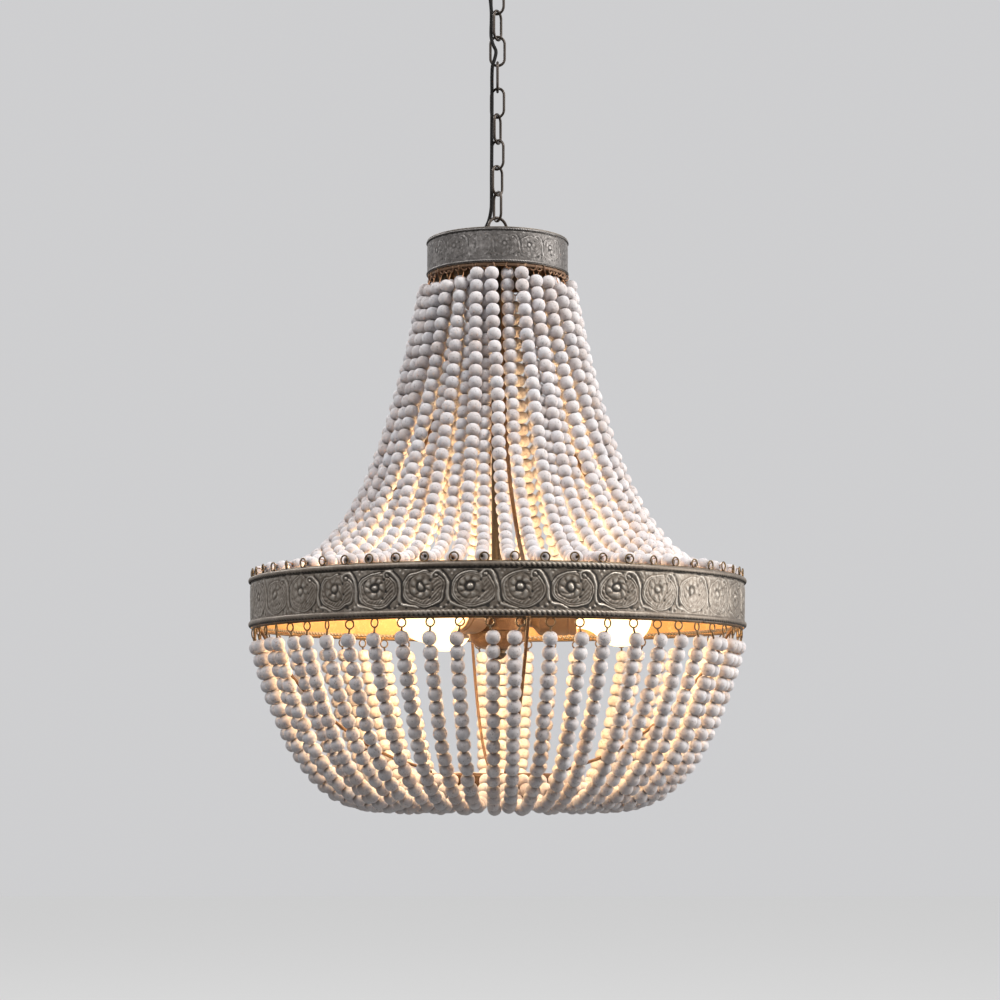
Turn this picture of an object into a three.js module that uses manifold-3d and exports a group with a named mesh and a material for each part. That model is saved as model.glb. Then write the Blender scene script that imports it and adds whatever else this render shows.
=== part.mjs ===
// A beaded chandelier: strings of wooden beads flare from a small collar to a wide ornamented band
// and hang in a basket below it, round a cluster of three lamps. A chain carries it from the ceiling.
// Millimetres, +Z up. The origin is on the ceiling, at the centre of the crossbar's top face.
import * as THREE from 'three';
import { mergeVertices } from 'three/addons/utils/BufferGeometryUtils.js';
import Module from 'manifold-3d';

const wasm = await Module();
wasm.setup();

// Clearances
const clearance = 0.3; // left between pieces that meet
const overrun = 1; // how far a joined or cutting shape runs past the face it meets

// Ceiling crossbar
const barLength = 100;
const barWidth = 20;
const barThickness = 2.5;
const barSlotLength = 18;
const barSlotWidth = 5;
const barSlotCentre = 32; // from the middle of the bar
const slotSegments = 5; // facets in each rounded end of a slot
const bossRadius = 8;
const bossDepth = 9; // below the bar
const bossRoof = 1; // solid metal left over the threaded hole

// Ceiling canopy
const canopyRadius = 60;
const canopyHeight = 32;
const canopyWall = 1.2;
const canopyFlatRadius = 27;
const canopyBulge = 9; // how far the dome stands out of a straight cone
const canopySteps = 4; // facets from the rim down to the flat

// Hanging loop under the canopy, with the stud that holds everything up
const studRadius = 4.75;
const loopBaseRadius = 9;
const loopBaseHeight = 5;
const hangerWire = 4;
const hangerWidth = 24;
const hangerTurn = 60; // degrees in plan, from the X axis
const lockNutAcross = 17;
const lockNutHeight = 5;

// Chain
const chainTop = 68.9; // from the ceiling down to the first link
const linkCount = 9;
const linkLength = 31.8;
const linkWidth = 17;
const linkWire = 2.7;
const linkTurns = [-30, 60, 0, 90, -25, 65, -35, 50, -60]; // degrees in plan, from the top link down

// Loop on top of the lamp
const crownWire = 3;
const crownWidth = 24;
const crownTurn = 30; // degrees in plan
const crownBaseRadius = 8;
const crownBaseHeight = 6;
const nippleRadius = 4.5;
const nippleLength = 15; // below the collar plate

// Collar
const collarRadius = 71;
const collarWall = 1;
const collarHeight = 34.7;
const collarRoll = 0.8; // how far its rolled edges stand out
const collarRollHeight = 1.8;
const plateRecess = 3; // from the collar's top edge down to the plate
const plateThickness = 2;
const collarRingWidth = 4;
const collarRingHeight = 3;

// Stem
const stemRadius = 6;
const stemBore = 4.8;
const stemSlotTop = 17; // from the top of the stem down to the slot that lets the cord in
const stemSlotLength = 22;
const stemSlotWidth = 5;

// Main band
const bandRadius = 248;
const bandWall = 1.2;
const bandHeight = 49.5;
const bandDrop = 306.7; // from the collar's bottom edge down to the band's top edge
const bandRoll = 2; // how far the rope edges stand out
const bandRollHeight = 4.4;
const hoopWire = 2.6; // square wire hoops just inside the band's two edges
const upperHoopRise = 1.2; // how far the upper hoop stands above the band
const lowerHoopDrop = 1.6; // how far the lower hoop stands below the band

// Strings of beads
const stringCount = 56; // above the band, and as many below it
const stringsPerSector = 7;
const beadRadius = 6.9; // a string is a square bar set on its corner, whose corners reach this far
const stringWire = 1.8;
const neckLength = 3; // from the collar ring down to the first bead
const upperTurn = -2.7; // degrees in plan, counted from -Y towards +X, of the first upper string
const lowerTurn = -1.48;
const outerTopRadius = 72.4;
const innerTopRadius = 61.2;
const outerStringLength = 366;
const innerStringLength = 371;
const upperEndInset = 6.5; // from the band's inner face in to the last bead
const upperEndRise = 5; // from the band's top edge up to the last bead
const lowerStartDrop = 12.5; // from the band's bottom edge down to the first bead
const lowerStartInset = 4.2;
const lowLayerLength = 266;
const highLayerLength = 260;
const layerStep = 14; // between the two layers of strings where they crowd at the bottom ring
const stringEndGap = 7.6; // from the bottom ring out to the last bead
const stringEndRise = 4.7; // from the bottom ring's lower edge up to the last bead
const stringSteps = 6;

// Frame rods above the band and ribs below it
const rodWire = 4;
const rodTopRadius = 46;
const rodPower = 3.4;
const rodShares = [0, 0.2, 0.36, 0.5, 0.62, 0.72, 0.8, 0.87, 0.94, 1]; // of its height, at each bend
const rodEndDrop = 20; // from the band's top edge down to the rods' ends
const ribWire = 3.2;
const ribPower = 2.7;
const ribShares = [1, 0.94, 0.87, 0.79, 0.7, 0.6, 0.5, 0.41]; // of its first radius, at each bend
const ribEndRise = 4.8; // from the bottom ring's top edge up to the ribs' flat ends
const ribStartRise = 9; // from the band's bottom edge up to where the ribs start to curve in
const tabLength = 8; // straight end that is riveted to the band or to the bottom ring
const frameTurn = 6.8; // degrees in plan, counted from -Y towards +X
const frameCount = 4;

// Bottom ring
const bottomRingRadius = 72;
const bottomRingWall = 2.5;
const bottomRingHeight = 26;
const bottomRingDrop = 145.5; // from the band's bottom edge down to the ring's top edge

// Lamp cluster
const hubRadius = 30;
const hubHeight = 47;
const hubWall = 1.5;
const hubCapHeight = 18;
const hubCapFlatRadius = 12;
const hubDrop = 4.5; // from the band's top edge down to the hub's top
const hubFlatShare = 0.55; // of the hub's radius
const hubShoulderShare = 0.86; // of the hub's radius
const hubShoulderDropShare = 0.12; // of the hub's height
const hubWallDropShare = 0.34; // of the hub's height, down to where the wall starts
const hubLampShare = 0.66; // of the hub's height, down to the lamps' axes
const capBellyShare = 0.93; // of the hub's radius
const capBellyDropShare = 0.45; // of the cap's height
const capFootShare = 0.7; // of the hub's radius
const capFootDropShare = 0.85; // of the cap's height
const finialRadius = 9;
const finialHeight = 10;
const finialTipShare = 0.6; // of the finial's radius
const finialTipRiseShare = 0.35; // of the finial's height
const lampCount = 3;
const lampTurn = 87; // degrees in plan, counted from -Y towards +X
const socketRadius = 20;
const socketBore = 14;
const socketShoulderRadius = 12;
const socketNippleRadius = 5;
const socketNippleLength = 8;
const socketLength = 50;
const socketBoreDepth = 30;
const socketStepShare = 0.1; // of the socket's length, where its shoulder starts to widen
const socketShoulderShare = 0.25; // of the socket's length, where it is full width
const globeRadius = 31.7;
const globeReach = 124; // from the lamp's axis out to the middle of a globe
const bulbCapRadius = 13.2;
const bulbContactRadius = 4;
const bulbContactShare = 0.12; // of the cap's depth
const globeNeckAngle = 132; // degrees on the globe, from its far end back to the neck
const globeStepAngle = 22;

// Power cord and its two bushings
const cordRadius = 1.8;
const cordStep = 10.8; // three diameters
const cordStraightBelow = -380; // inside the stem
const bushingBore = 2.6;
const bushingRadius = 4.6;
const bushingFlange = 6.6;
const bushingFlangeHeight = 1.6;
const bushingTail = 3; // below or above the sheet it sits in
const bushingSides = 12;

// Points that the cord passes, set by hand. It hangs on the left of the chain and crosses in front
// of the third link.
const cordRoute = [
  [-16.7, -2.9, -22], [-16.7, -2.9, -33], [-16.4, -2.8, -44], [-13.4, -2.4, -58], [-9.6, -1.8, -72],
  [-7.2, -1.5, -86], [-6.2, -1.8, -98], [-6.3, -2.0, -110], [-6.5, -2.9, -118], [-6.2, -3.9, -125],
  [-4.3, -4.7, -132], [-1.6, -4.8, -138], [-2.6, -4.8, -145], [-4.9, -4.1, -152], [-5.6, -3.0, -162],
  [-5.6, -2.3, -178], [-5.6, -1.9, -192], [-5.7, -1.7, -206], [-5.8, -1.5, -220], [-5.8, -1.3, -234],
  [-5.9, -1.0, -250], [-6.0, -0.8, -266], [-6.0, -0.6, -282], [-6.4, 0.0, -296], [-8.6, 0.7, -307],
  [-12.8, 1.0, -317], [-15.8, 1.3, -326], [-16.2, 1.4, -333], [-16.0, 1.4, -339], [-14.9, 1.3, -345],
  [-11.4, 1.0, -352], [-6.4, 0.6, -359], [-1.9, 0.2, -367], [0, 0, -378], [0, 0, -420], [0, 0, -500],
  [0, 0, -600], [0, 0, -700],
];

// Sides of the many-sided rounds
const bandSides = 56;
const collarSides = 28;
const hubSides = 18;
const smallSides = 16;
const linkSides = 6;
const linkBendSteps = 6;
const cordSides = 8;
const frameSides = 6;

const materials = {
  agedIron: { color: 0x7c7368, roughness: 0.6, metalness: 0.6 },
  darkBronze: { color: 0x3a3029, roughness: 0.5, metalness: 0.8 },
  rustyWire: { color: 0x5d4027, roughness: 0.7, metalness: 0.6 },
  whitewashedWood: { color: 0xcfc6c0, roughness: 0.85, metalness: 0 },
  blackCord: { color: 0x14110f, roughness: 0.7, metalness: 0 },
  socketPlastic: { color: 0x6b4d33, roughness: 0.5, metalness: 0 },
  warmGlass: { color: 0xfff2cf, roughness: 0.15, metalness: 0 },
  darkPlastic: { color: 0x1f1b18, roughness: 0.5, metalness: 0 },
};

const chandelier = new THREE.Group();

function addPiece(name, geometry, material) {
  const mesh = new THREE.Mesh(geometry, new THREE.MeshStandardMaterial(material));
  mesh.name = name;
  chandelier.add(mesh);
  return mesh;
}

const degrees = (angle) => THREE.MathUtils.degToRad(angle);

// An angle in plan that is counted from the front, -Y, towards +X
const fromFront = (angle) => degrees(angle - 90);

function polar(radius, angle, z) {
  return new THREE.Vector3(radius * Math.cos(angle), radius * Math.sin(angle), z);
}

// Distance from the axis to the middle of a facet of a many-sided round
const apothem = (radius, sides) => radius * Math.cos(Math.PI / sides);

// Corner radius of a many-sided hole whose flats clear a round of the given radius
const boreFor = (radius, sides = smallSides) => (radius + clearance) / Math.cos(Math.PI / sides);

// Joins rings of points into one closed skin. The last ring meets the first when closed is true.
function loft(rings, closed) {
  const sides = rings[0].length;
  const positions = rings.flat().flatMap((point) => [point.x, point.y, point.z]);
  const indices = [];
  const spans = closed ? rings.length : rings.length - 1;
  for (let i = 0; i < spans; i++) {
    const here = i * sides;
    const next = ((i + 1) % rings.length) * sides;
    for (let j = 0; j < sides; j++) {
      const k = (j + 1) % sides;
      indices.push(here + j, here + k, next + k, here + j, next + k, next + j);
    }
  }
  if (!closed) {
    const last = (rings.length - 1) * sides;
    for (let j = 1; j < sides - 1; j++) {
      indices.push(0, j + 1, j, last, last + j, last + j + 1);
    }
  }
  return outward(positions, indices);
}

// Makes a geometry whose faces point out, whichever way the skin was wound.
function outward(positions, indices) {
  let volume = 0;
  const corner = (index) => new THREE.Vector3().fromArray(positions, 3 * index);
  for (let i = 0; i < indices.length; i += 3) {
    volume += corner(indices[i]).dot(corner(indices[i + 1]).cross(corner(indices[i + 2])));
  }
  if (volume < 0) {
    indices.reverse();
  }
  const geometry = new THREE.BufferGeometry();
  geometry.setAttribute('position', new THREE.Float32BufferAttribute(positions, 3));
  geometry.setIndex(indices);
  return geometry;
}

// Carries a regular section along a path. Two of the section's directions are the given side
// direction and the one square to it and to the path, and radii holds the section's radius at each
// point. Its first corner is turned from the side direction by a share of the step between corners.
function sweep(path, radii, sides, side, closed = false, cornerShare = 0.5) {
  const rings = path.map((centre, i) => {
    const before = closed ? path[(i + path.length - 1) % path.length] : path[Math.max(i - 1, 0)];
    const after = closed ? path[(i + 1) % path.length] : path[Math.min(i + 1, path.length - 1)];
    const along = after.clone().sub(before).normalize();
    const across = side.clone().addScaledVector(along, -side.dot(along)).normalize();
    const normal = along.clone().cross(across);
    return Array.from({ length: sides }, (_, j) => {
      const turn = (2 * Math.PI * (j + cornerShare)) / sides;
      return centre.clone()
        .addScaledVector(across, radii[i] * Math.cos(turn))
        .addScaledVector(normal, radii[i] * Math.sin(turn));
    });
  });
  return loft(rings, closed);
}

// Turns a profile of [radius, height] points about the Z axis.
function turned(profile, sides) {
  const points = profile.map(([radius, height]) => new THREE.Vector2(radius, height));
  const geometry = new THREE.LatheGeometry(points, sides);
  geometry.rotateX(Math.PI / 2);
  return tidied(geometry);
}

// A ring, pipe or shell is turned from an outline that closes on itself.
const turnedRing = (profile, sides) => turned([...profile, profile[0]], sides);

// Keeps the positions alone, merges equal ones and drops faces without area.
function tidied(source) {
  const plain = new THREE.BufferGeometry();
  plain.setAttribute('position', source.getAttribute('position').clone());
  plain.setIndex(source.index ? source.index.clone() : null);
  const merged = mergeVertices(plain, clearance / 1000);
  const kept = [];
  const index = merged.index.array;
  for (let i = 0; i < index.length; i += 3) {
    const [a, b, c] = [index[i], index[i + 1], index[i + 2]];
    if (a !== b && b !== c && c !== a) {
      kept.push(a, b, c);
    }
  }
  return outward(Array.from(merged.getAttribute('position').array), kept);
}

function cylinder(radius, bottom, top, sides) {
  return turned([[0, bottom], [radius, bottom], [radius, top], [0, top]], sides);
}

function asSolid(geometry) {
  const merged = tidied(geometry);
  return new wasm.Manifold(new wasm.Mesh({
    numProp: 3,
    vertProperties: Float32Array.from(merged.getAttribute('position').array),
    triVerts: Uint32Array.from(merged.index.array),
  }));
}

function asGeometry(solid) {
  const mesh = solid.getMesh();
  const geometry = new THREE.BufferGeometry();
  geometry.setAttribute('position', new THREE.Float32BufferAttribute(mesh.vertProperties, 3));
  geometry.setIndex(Array.from(mesh.triVerts));
  return geometry;
}

function joined(geometries) {
  return asGeometry(geometries.map(asSolid).reduce((whole, solid) => whole.add(solid)));
}

function cut(geometry, tools) {
  return asGeometry(tools.map(asSolid).reduce((rest, tool) => rest.subtract(tool), asSolid(geometry)));
}

// Centreline of an oval ring of wire that stands upright with its middle at the origin. Its plane
// holds the Z axis and the plan direction of the given angle.
function ovalPath(length, width, wire, angle, bendSteps) {
  const bend = (width - wire) / 2;
  const straight = (length - width) / 2;
  const path = [];
  for (const end of [0, 1]) {
    for (let i = 0; i <= bendSteps; i++) {
      const turn = Math.PI * (end + i / bendSteps);
      const z = (end ? -straight : straight) + bend * Math.sin(turn);
      path.push(polar(bend * Math.cos(turn), angle, z));
    }
  }
  return path;
}

function ovalRing(length, width, wire, angle, middle) {
  const path = ovalPath(length, width, wire, angle, linkBendSteps);
  const side = polar(1, angle + Math.PI / 2, 0);
  return sweep(path, path.map(() => wire / 2), linkSides, side, true).translate(0, 0, middle);
}

// Heights, all counted down from the ceiling
const barBottom = -barThickness;
const bossBottom = barBottom - bossDepth;
const canopyBottom = -canopyHeight;
const loopBaseTop = canopyBottom - clearance;
const loopBaseBottom = loopBaseTop - loopBaseHeight;
const linkPitch = linkLength - 2 * linkWire - clearance;
const hangerBottom = -chainTop - linkWire - clearance - hangerWire;
const linkMiddle = (i) => -chainTop - linkLength / 2 - i * linkPitch;
const chainBottom = linkMiddle(linkCount - 1) - linkLength / 2;
const crownTop = chainBottom + linkWire + clearance + crownWire;
const crownBottom = crownTop - crownWidth;
const crownBaseTop = crownBottom + crownWire / 2;
const crownBaseBottom = crownBaseTop - crownBaseHeight;
const plateTop = crownBaseBottom - clearance;
const plateBottom = plateTop - plateThickness;
const collarTop = plateTop + plateRecess;
const collarBottom = collarTop - collarHeight;
const collarRingTop = collarBottom - clearance;
const collarRingBottom = collarRingTop - collarRingHeight;
const stemTop = plateBottom - clearance;
const bandTop = collarBottom - bandDrop;
const bandBottom = bandTop - bandHeight;
const hubTop = bandTop - hubDrop;
const hubBottom = hubTop - hubHeight;
const hubCapBottom = hubBottom - clearance - hubCapHeight;
const finialTop = hubCapBottom - clearance;
const finialBottom = finialTop - finialHeight;
const bottomRingTop = bandBottom - bottomRingDrop;
const bottomRingBottom = bottomRingTop - bottomRingHeight;

const bandInner = bandRadius - bandWall;
const collarInner = collarRadius - collarWall;
const bottomInner = bottomRingRadius - bottomRingWall;

// The curve that the cord follows, and how many points per given point it is looked up at
const cordPoints = cordRoute.map((point) => new THREE.Vector3(...point));
const cordCurve = new THREE.CatmullRomCurve3(cordPoints, false, 'centripetal');
const cordLookups = 40;

// A crossbar with two slots for ceiling screws and a threaded boss that is closed above
function crossbar() {
  const outline = new THREE.Shape();
  outline.moveTo(-barLength / 2, -barWidth / 2);
  outline.lineTo(barLength / 2, -barWidth / 2);
  outline.lineTo(barLength / 2, barWidth / 2);
  outline.lineTo(-barLength / 2, barWidth / 2);
  const slotRadius = barSlotWidth / 2;
  const slotHalf = barSlotLength / 2 - slotRadius;
  for (const middle of [-barSlotCentre, barSlotCentre]) {
    const slot = new THREE.Path();
    slot.absarc(middle + slotHalf, 0, slotRadius, -Math.PI / 2, Math.PI / 2, false);
    slot.absarc(middle - slotHalf, 0, slotRadius, Math.PI / 2, 3 * Math.PI / 2, false);
    outline.holes.push(slot);
  }
  const settings = { depth: barThickness, bevelEnabled: false, curveSegments: slotSegments };
  const bar = new THREE.ExtrudeGeometry(outline, settings);
  bar.translate(0, 0, barBottom);
  const boss = cylinder(bossRadius, bossBottom, barBottom + barThickness / 2, smallSides);
  const hole = cylinder(boreFor(studRadius), bossBottom - overrun, -bossRoof, smallSides);
  return cut(joined([bar, boss]), [hole]);
}

// Half of the canopy's section, from the rim down to the flat
function domeEdge(rimRadius, flatRadius, bottom, steps) {
  const rim = new THREE.Vector2(rimRadius, 0);
  const flat = new THREE.Vector2(flatRadius, bottom);
  const bulge = new THREE.Vector2(-bottom, flatRadius - rimRadius).setLength(2 * canopyBulge);
  const control = rim.clone().add(flat).multiplyScalar(0.5).add(bulge);
  const curve = new THREE.QuadraticBezierCurve(rim, control, flat);
  return curve.getPoints(steps).map((point) => [point.x, point.y]);
}

// Place in plan where the cord passes a sheet that lies at height z
function cordAt(z) {
  const points = cordCurve.getPoints(cordRoute.length * cordLookups);
  const offset = (point) => Math.abs(point.z - z);
  return points.reduce((best, point) => (offset(point) < offset(best) ? point : best));
}

function canopy() {
  const innerBottom = canopyBottom + canopyWall;
  const outer = domeEdge(canopyRadius, canopyFlatRadius, canopyBottom, canopySteps);
  const innerFlatRadius = canopyFlatRadius - canopyWall;
  const inner = domeEdge(canopyRadius - canopyWall, innerFlatRadius, innerBottom, canopySteps);
  const bore = boreFor(studRadius, collarSides);
  const profile = [...outer, [bore, canopyBottom], [bore, innerBottom], ...inner.reverse()];
  const place = cordAt(canopyBottom);
  const hole = cylinder(boreFor(bushingRadius), canopyBottom - overrun, innerBottom + overrun, smallSides);
  hole.translate(place.x, place.y, 0);
  return cut(turnedRing(profile, collarSides), [hole]);
}

// A bushing that lines the hole in a sheet: its flange bears on the sheet's face that looks away
// from the tail. The tail's direction is 1 for up and -1 for down.
function bushing(sheetFace, sheetThickness, tailDirection) {
  const place = cordAt(sheetFace);
  const face = sheetFace - tailDirection * clearance;
  const flangeEnd = face - tailDirection * bushingFlangeHeight;
  const tailEnd = sheetFace + tailDirection * (sheetThickness + bushingTail);
  const profile = [
    [bushingBore, flangeEnd], [bushingFlange, flangeEnd], [bushingFlange, face],
    [bushingRadius, face], [bushingRadius, tailEnd], [bushingBore, tailEnd],
  ];
  return turnedRing(profile, bushingSides).translate(place.x, place.y, 0);
}

function hangingLoop() {
  const ringTop = loopBaseBottom + overrun;
  const length = ringTop - hangerBottom;
  const middle = hangerBottom + length / 2;
  const ring = ovalRing(length, hangerWidth, hangerWire, degrees(hangerTurn), middle);
  const base = cylinder(loopBaseRadius, loopBaseBottom, loopBaseTop, smallSides);
  const stud = cylinder(studRadius, loopBaseTop - overrun, -bossRoof - clearance, smallSides);
  return joined([base, stud, ring]);
}

function hexNut(across, bore, bottom, height) {
  const corner = across / 2 / Math.cos(Math.PI / 6);
  const body = cylinder(corner, bottom, bottom + height, 6);
  const hole = cylinder(bore, bottom - overrun, bottom + height + overrun, smallSides);
  return cut(body, [hole]);
}

function crownLoop() {
  const middle = crownTop - crownWidth / 2;
  const ring = ovalRing(crownWidth, crownWidth, crownWire, degrees(crownTurn), middle);
  const base = cylinder(crownBaseRadius, crownBaseBottom, crownBaseTop, smallSides);
  const nipple = cylinder(nippleRadius, plateBottom - nippleLength, crownBaseBottom + overrun, smallSides);
  return joined([base, nipple, ring]);
}

// A sheet band with a roll along each edge that stands out of its face by the size roll
function rolledBand({ radius, wall, top, height, roll, rollHeight, sides }) {
  const bottom = top - height;
  const bevel = rollHeight / 4;
  return turnedRing([
    [radius - wall, bottom], [radius - wall, top], [radius, top],
    [radius + roll, top - bevel], [radius + roll, top - rollHeight + bevel], [radius, top - rollHeight],
    [radius, bottom + rollHeight], [radius + roll, bottom + rollHeight - bevel],
    [radius + roll, bottom + bevel], [radius, bottom],
  ], sides);
}

// The disc inside the collar, with a hole for the nipple and one for the cord
function collarPlate() {
  const rim = apothem(collarInner, collarSides) - clearance;
  const hole = boreFor(nippleRadius, collarSides);
  const section = [[hole, plateBottom], [rim, plateBottom], [rim, plateTop], [hole, plateTop]];
  const disc = turnedRing(section, collarSides);
  const place = cordAt(plateTop);
  const holeRadius = boreFor(bushingRadius);
  const cordHole = cylinder(holeRadius, plateBottom - overrun, plateTop + overrun, smallSides);
  return cut(disc, [cordHole.translate(place.x, place.y, 0)]);
}

function stem() {
  const bottom = finialBottom + hubWall + clearance;
  const section = [[stemBore, bottom], [stemRadius, bottom], [stemRadius, stemTop], [stemBore, stemTop]];
  const pipe = turnedRing(section, smallSides);
  const slotMiddle = stemTop - stemSlotTop - stemSlotLength / 2;
  const slot = new THREE.BoxGeometry(stemRadius + overrun, stemSlotWidth, stemSlotLength);
  slot.translate(-(stemRadius + overrun) / 2, 0, slotMiddle);
  return cut(pipe, [slot]);
}

// The curve of a string that hangs between two points of a vertical plane. Each point is
// [radius, height]. Steps are spread half by length and half by direction, closer in the bend.
function hangingCurve(start, end, length, steps) {
  const [startRadius, startHeight] = start;
  const [endRadius, endHeight] = end;
  const span = Math.abs(endRadius - startRadius);
  const rise = endHeight - startHeight;
  const spare = Math.sqrt(length * length - rise * rise);
  let low = span / 100;
  let high = span * 100;
  for (let i = 0; i < 80; i++) {
    const middle = (low + high) / 2;
    if (2 * middle * Math.sinh(span / (2 * middle)) > spare) {
      low = middle;
    } else {
      high = middle;
    }
  }
  const scale = (low + high) / 2;
  const lowest = span / 2 - scale * Math.atanh(rise / length);
  const first = -lowest / scale;
  const last = (span - lowest) / scale;
  const direction = Math.sign(endRadius - startRadius);
  return Array.from({ length: steps + 1 }, (_, i) => {
    const share = i / steps;
    const evenLength = Math.asinh(Math.sinh(first) + share * length / scale);
    const evenTurn = first + share * (last - first);
    const at = (evenLength + evenTurn) / 2;
    const radius = startRadius + direction * (lowest + scale * at);
    return [radius, startHeight + scale * (Math.cosh(at) - Math.cosh(first))];
  });
}

// One string of beads in the vertical plane of the given angle. It narrows to the bare wire at both
// ends, and the wire's first and last points are where it is fastened.
function beadString(wireStart, curve, wireEnd, angle) {
  const outline = [wireStart, ...curve, wireEnd];
  const path = outline.map(([radius, height]) => polar(radius, angle, height));
  const wire = stringWire / Math.SQRT2;
  const bead = beadRadius - clearance;
  const radii = outline.map((_, i) => (i === 0 || i === outline.length - 1 ? wire : bead));
  return sweep(path, radii, 4, polar(1, angle + Math.PI / 2, 0), false, 0);
}

// An arc of the square wire hoop inside one edge of the band
function hoopArc(radius, height, from, to) {
  const steps = Math.round((to - from) / (2 * Math.PI / bandSides));
  const step = (to - from) / steps;
  const path = Array.from({ length: steps + 1 }, (_, i) => polar(radius, from + step * i, height));
  return sweep(path, path.map(() => hoopWire / Math.SQRT2), 4, new THREE.Vector3(0, 0, 1));
}

const hoopRadius = apothem(bandInner, bandSides) - clearance - hoopWire / 2;
const sectorCount = stringCount / stringsPerSector;
const sectorAngle = 2 * Math.PI / sectorCount;
const stringAngle = 2 * Math.PI / stringCount;

// Strings that hang from the collar ring to the band. Every other one starts in an inner row.
function upperSector(sector) {
  const hoopHeight = bandTop + upperHoopRise - hoopWire / 2;
  const middle = fromFront(upperTurn) + sector * sectorAngle;
  const reach = sectorAngle / 2 - clearance / hoopRadius;
  const arc = hoopArc(hoopRadius, hoopHeight, middle - reach, middle + reach);
  const ringMiddle = collarInner - collarRingWidth / 2;
  const wireStart = [ringMiddle, collarRingBottom - clearance - stringWire];
  const end = [bandInner - upperEndInset, bandTop + upperEndRise];
  const strings = [];
  for (let i = 0; i < stringsPerSector; i++) {
    const number = sector * stringsPerSector + i;
    const outer = number % 2 === 0;
    const start = [outer ? outerTopRadius : innerTopRadius, collarRingBottom - neckLength];
    const curve = hangingCurve(start, end, outer ? outerStringLength : innerStringLength, stringSteps);
    const angle = middle + (i - (stringsPerSector - 1) / 2) * stringAngle;
    strings.push(beadString(wireStart, curve, [hoopRadius, hoopHeight], angle));
  }
  return joined([arc, ...strings]);
}

// Strings that hang from the band to the bottom ring, in two layers where they crowd
function lowerSector(sector) {
  const hoopHeight = bandBottom - lowerHoopDrop + hoopWire / 2;
  const from = fromFront(frameTurn) + sector * sectorAngle;
  const gap = (ribWire / 2 + 2 * clearance) / hoopRadius;
  const arc = hoopArc(hoopRadius, hoopHeight, from + gap, from + sectorAngle - gap);
  const start = [bandInner - lowerStartInset, bandBottom - lowerStartDrop];
  const strings = [];
  const firstString = Math.ceil((frameTurn - lowerTurn) / (360 / stringCount));
  for (let i = 0; i < stringsPerSector; i++) {
    const number = firstString + sector * stringsPerSector + i;
    const low = number % 2 === 0;
    const endHeight = bottomRingBottom + stringEndRise + (low ? 0 : layerStep);
    const end = [bottomRingRadius + stringEndGap, endHeight];
    const curve = hangingCurve(start, end, low ? lowLayerLength : highLayerLength, stringSteps);
    const angle = fromFront(lowerTurn) + number * stringAngle;
    const wireEnd = [bottomRingRadius + clearance, endHeight];
    strings.push(beadString([hoopRadius, hoopHeight], curve, wireEnd, angle));
  }
  return joined([arc, ...strings]);
}

// A frame rod or rib in the vertical plane of the given angle. Its radius follows a power of the
// share of its height, so that it is steep at one end and flat at the other, with a straight tab.
function frameCurve(points, wire, angle) {
  const path = points.map(([radius, height]) => polar(radius, angle, height));
  return sweep(path, path.map(() => wire / 2), frameSides, polar(1, angle + Math.PI / 2, 0));
}

function upperRod(angle) {
  const endRadius = apothem(bandInner, bandSides) - clearance - rodWire / 2;
  const endHeight = bandTop - rodEndDrop;
  const startHeight = plateBottom - clearance;
  const points = [];
  for (const share of rodShares) {
    const radius = rodTopRadius + (endRadius - rodTopRadius) * share ** rodPower;
    points.push([radius, startHeight + (endHeight - startHeight) * share]);
  }
  points.push([endRadius, endHeight - tabLength]);
  return frameCurve(points, rodWire, angle);
}

function lowerRib(angle) {
  const startRadius = apothem(bandInner, bandSides) - clearance - ribWire / 2;
  const startHeight = bandBottom + ribStartRise;
  const endRadius = apothem(bottomInner, collarSides) - clearance - ribWire / 2;
  const endHeight = bottomRingTop + clearance + ribEndRise;
  const fallShare = 1 - (endRadius / startRadius) ** ribPower;
  const lowest = startHeight - (startHeight - endHeight) / fallShare;
  const points = [[startRadius, startHeight + tabLength]];
  for (const share of ribShares) {
    points.push([startRadius * share, lowest + (startHeight - lowest) * share ** ribPower]);
  }
  points.push([endRadius + ribWire, endHeight], [endRadius, endHeight - ribWire]);
  points.push([endRadius, endHeight - tabLength]);
  return frameCurve(points, ribWire, angle);
}

// The hub is a cup that is open below; three nipple holes take the sockets.
function hubBody() {
  const hole = boreFor(stemRadius);
  const flatRadius = hubRadius * hubFlatShare;
  const shoulderRadius = hubRadius * hubShoulderShare;
  const shoulder = hubTop - hubHeight * hubShoulderDropShare;
  const wallTop = hubTop - hubHeight * hubWallDropShare;
  const cup = turnedRing([
    [hole, hubTop], [flatRadius, hubTop], [shoulderRadius, shoulder],
    [hubRadius, wallTop], [hubRadius, hubBottom], [hubRadius - hubWall, hubBottom],
    [hubRadius - hubWall, wallTop], [shoulderRadius - hubWall, shoulder - hubWall],
    [flatRadius - hubWall / 2, hubTop - hubWall], [hole, hubTop - hubWall],
  ], hubSides);
  cup.rotateZ(fromFront(lampTurn));
  const holeRadius = boreFor(socketNippleRadius);
  const holes = lampAngles.map((angle) => {
    const drill = cylinder(holeRadius, hubRadius / 2, hubRadius + overrun, smallSides);
    return alongAxis(drill, angle);
  });
  return cut(cup, holes);
}

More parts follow.
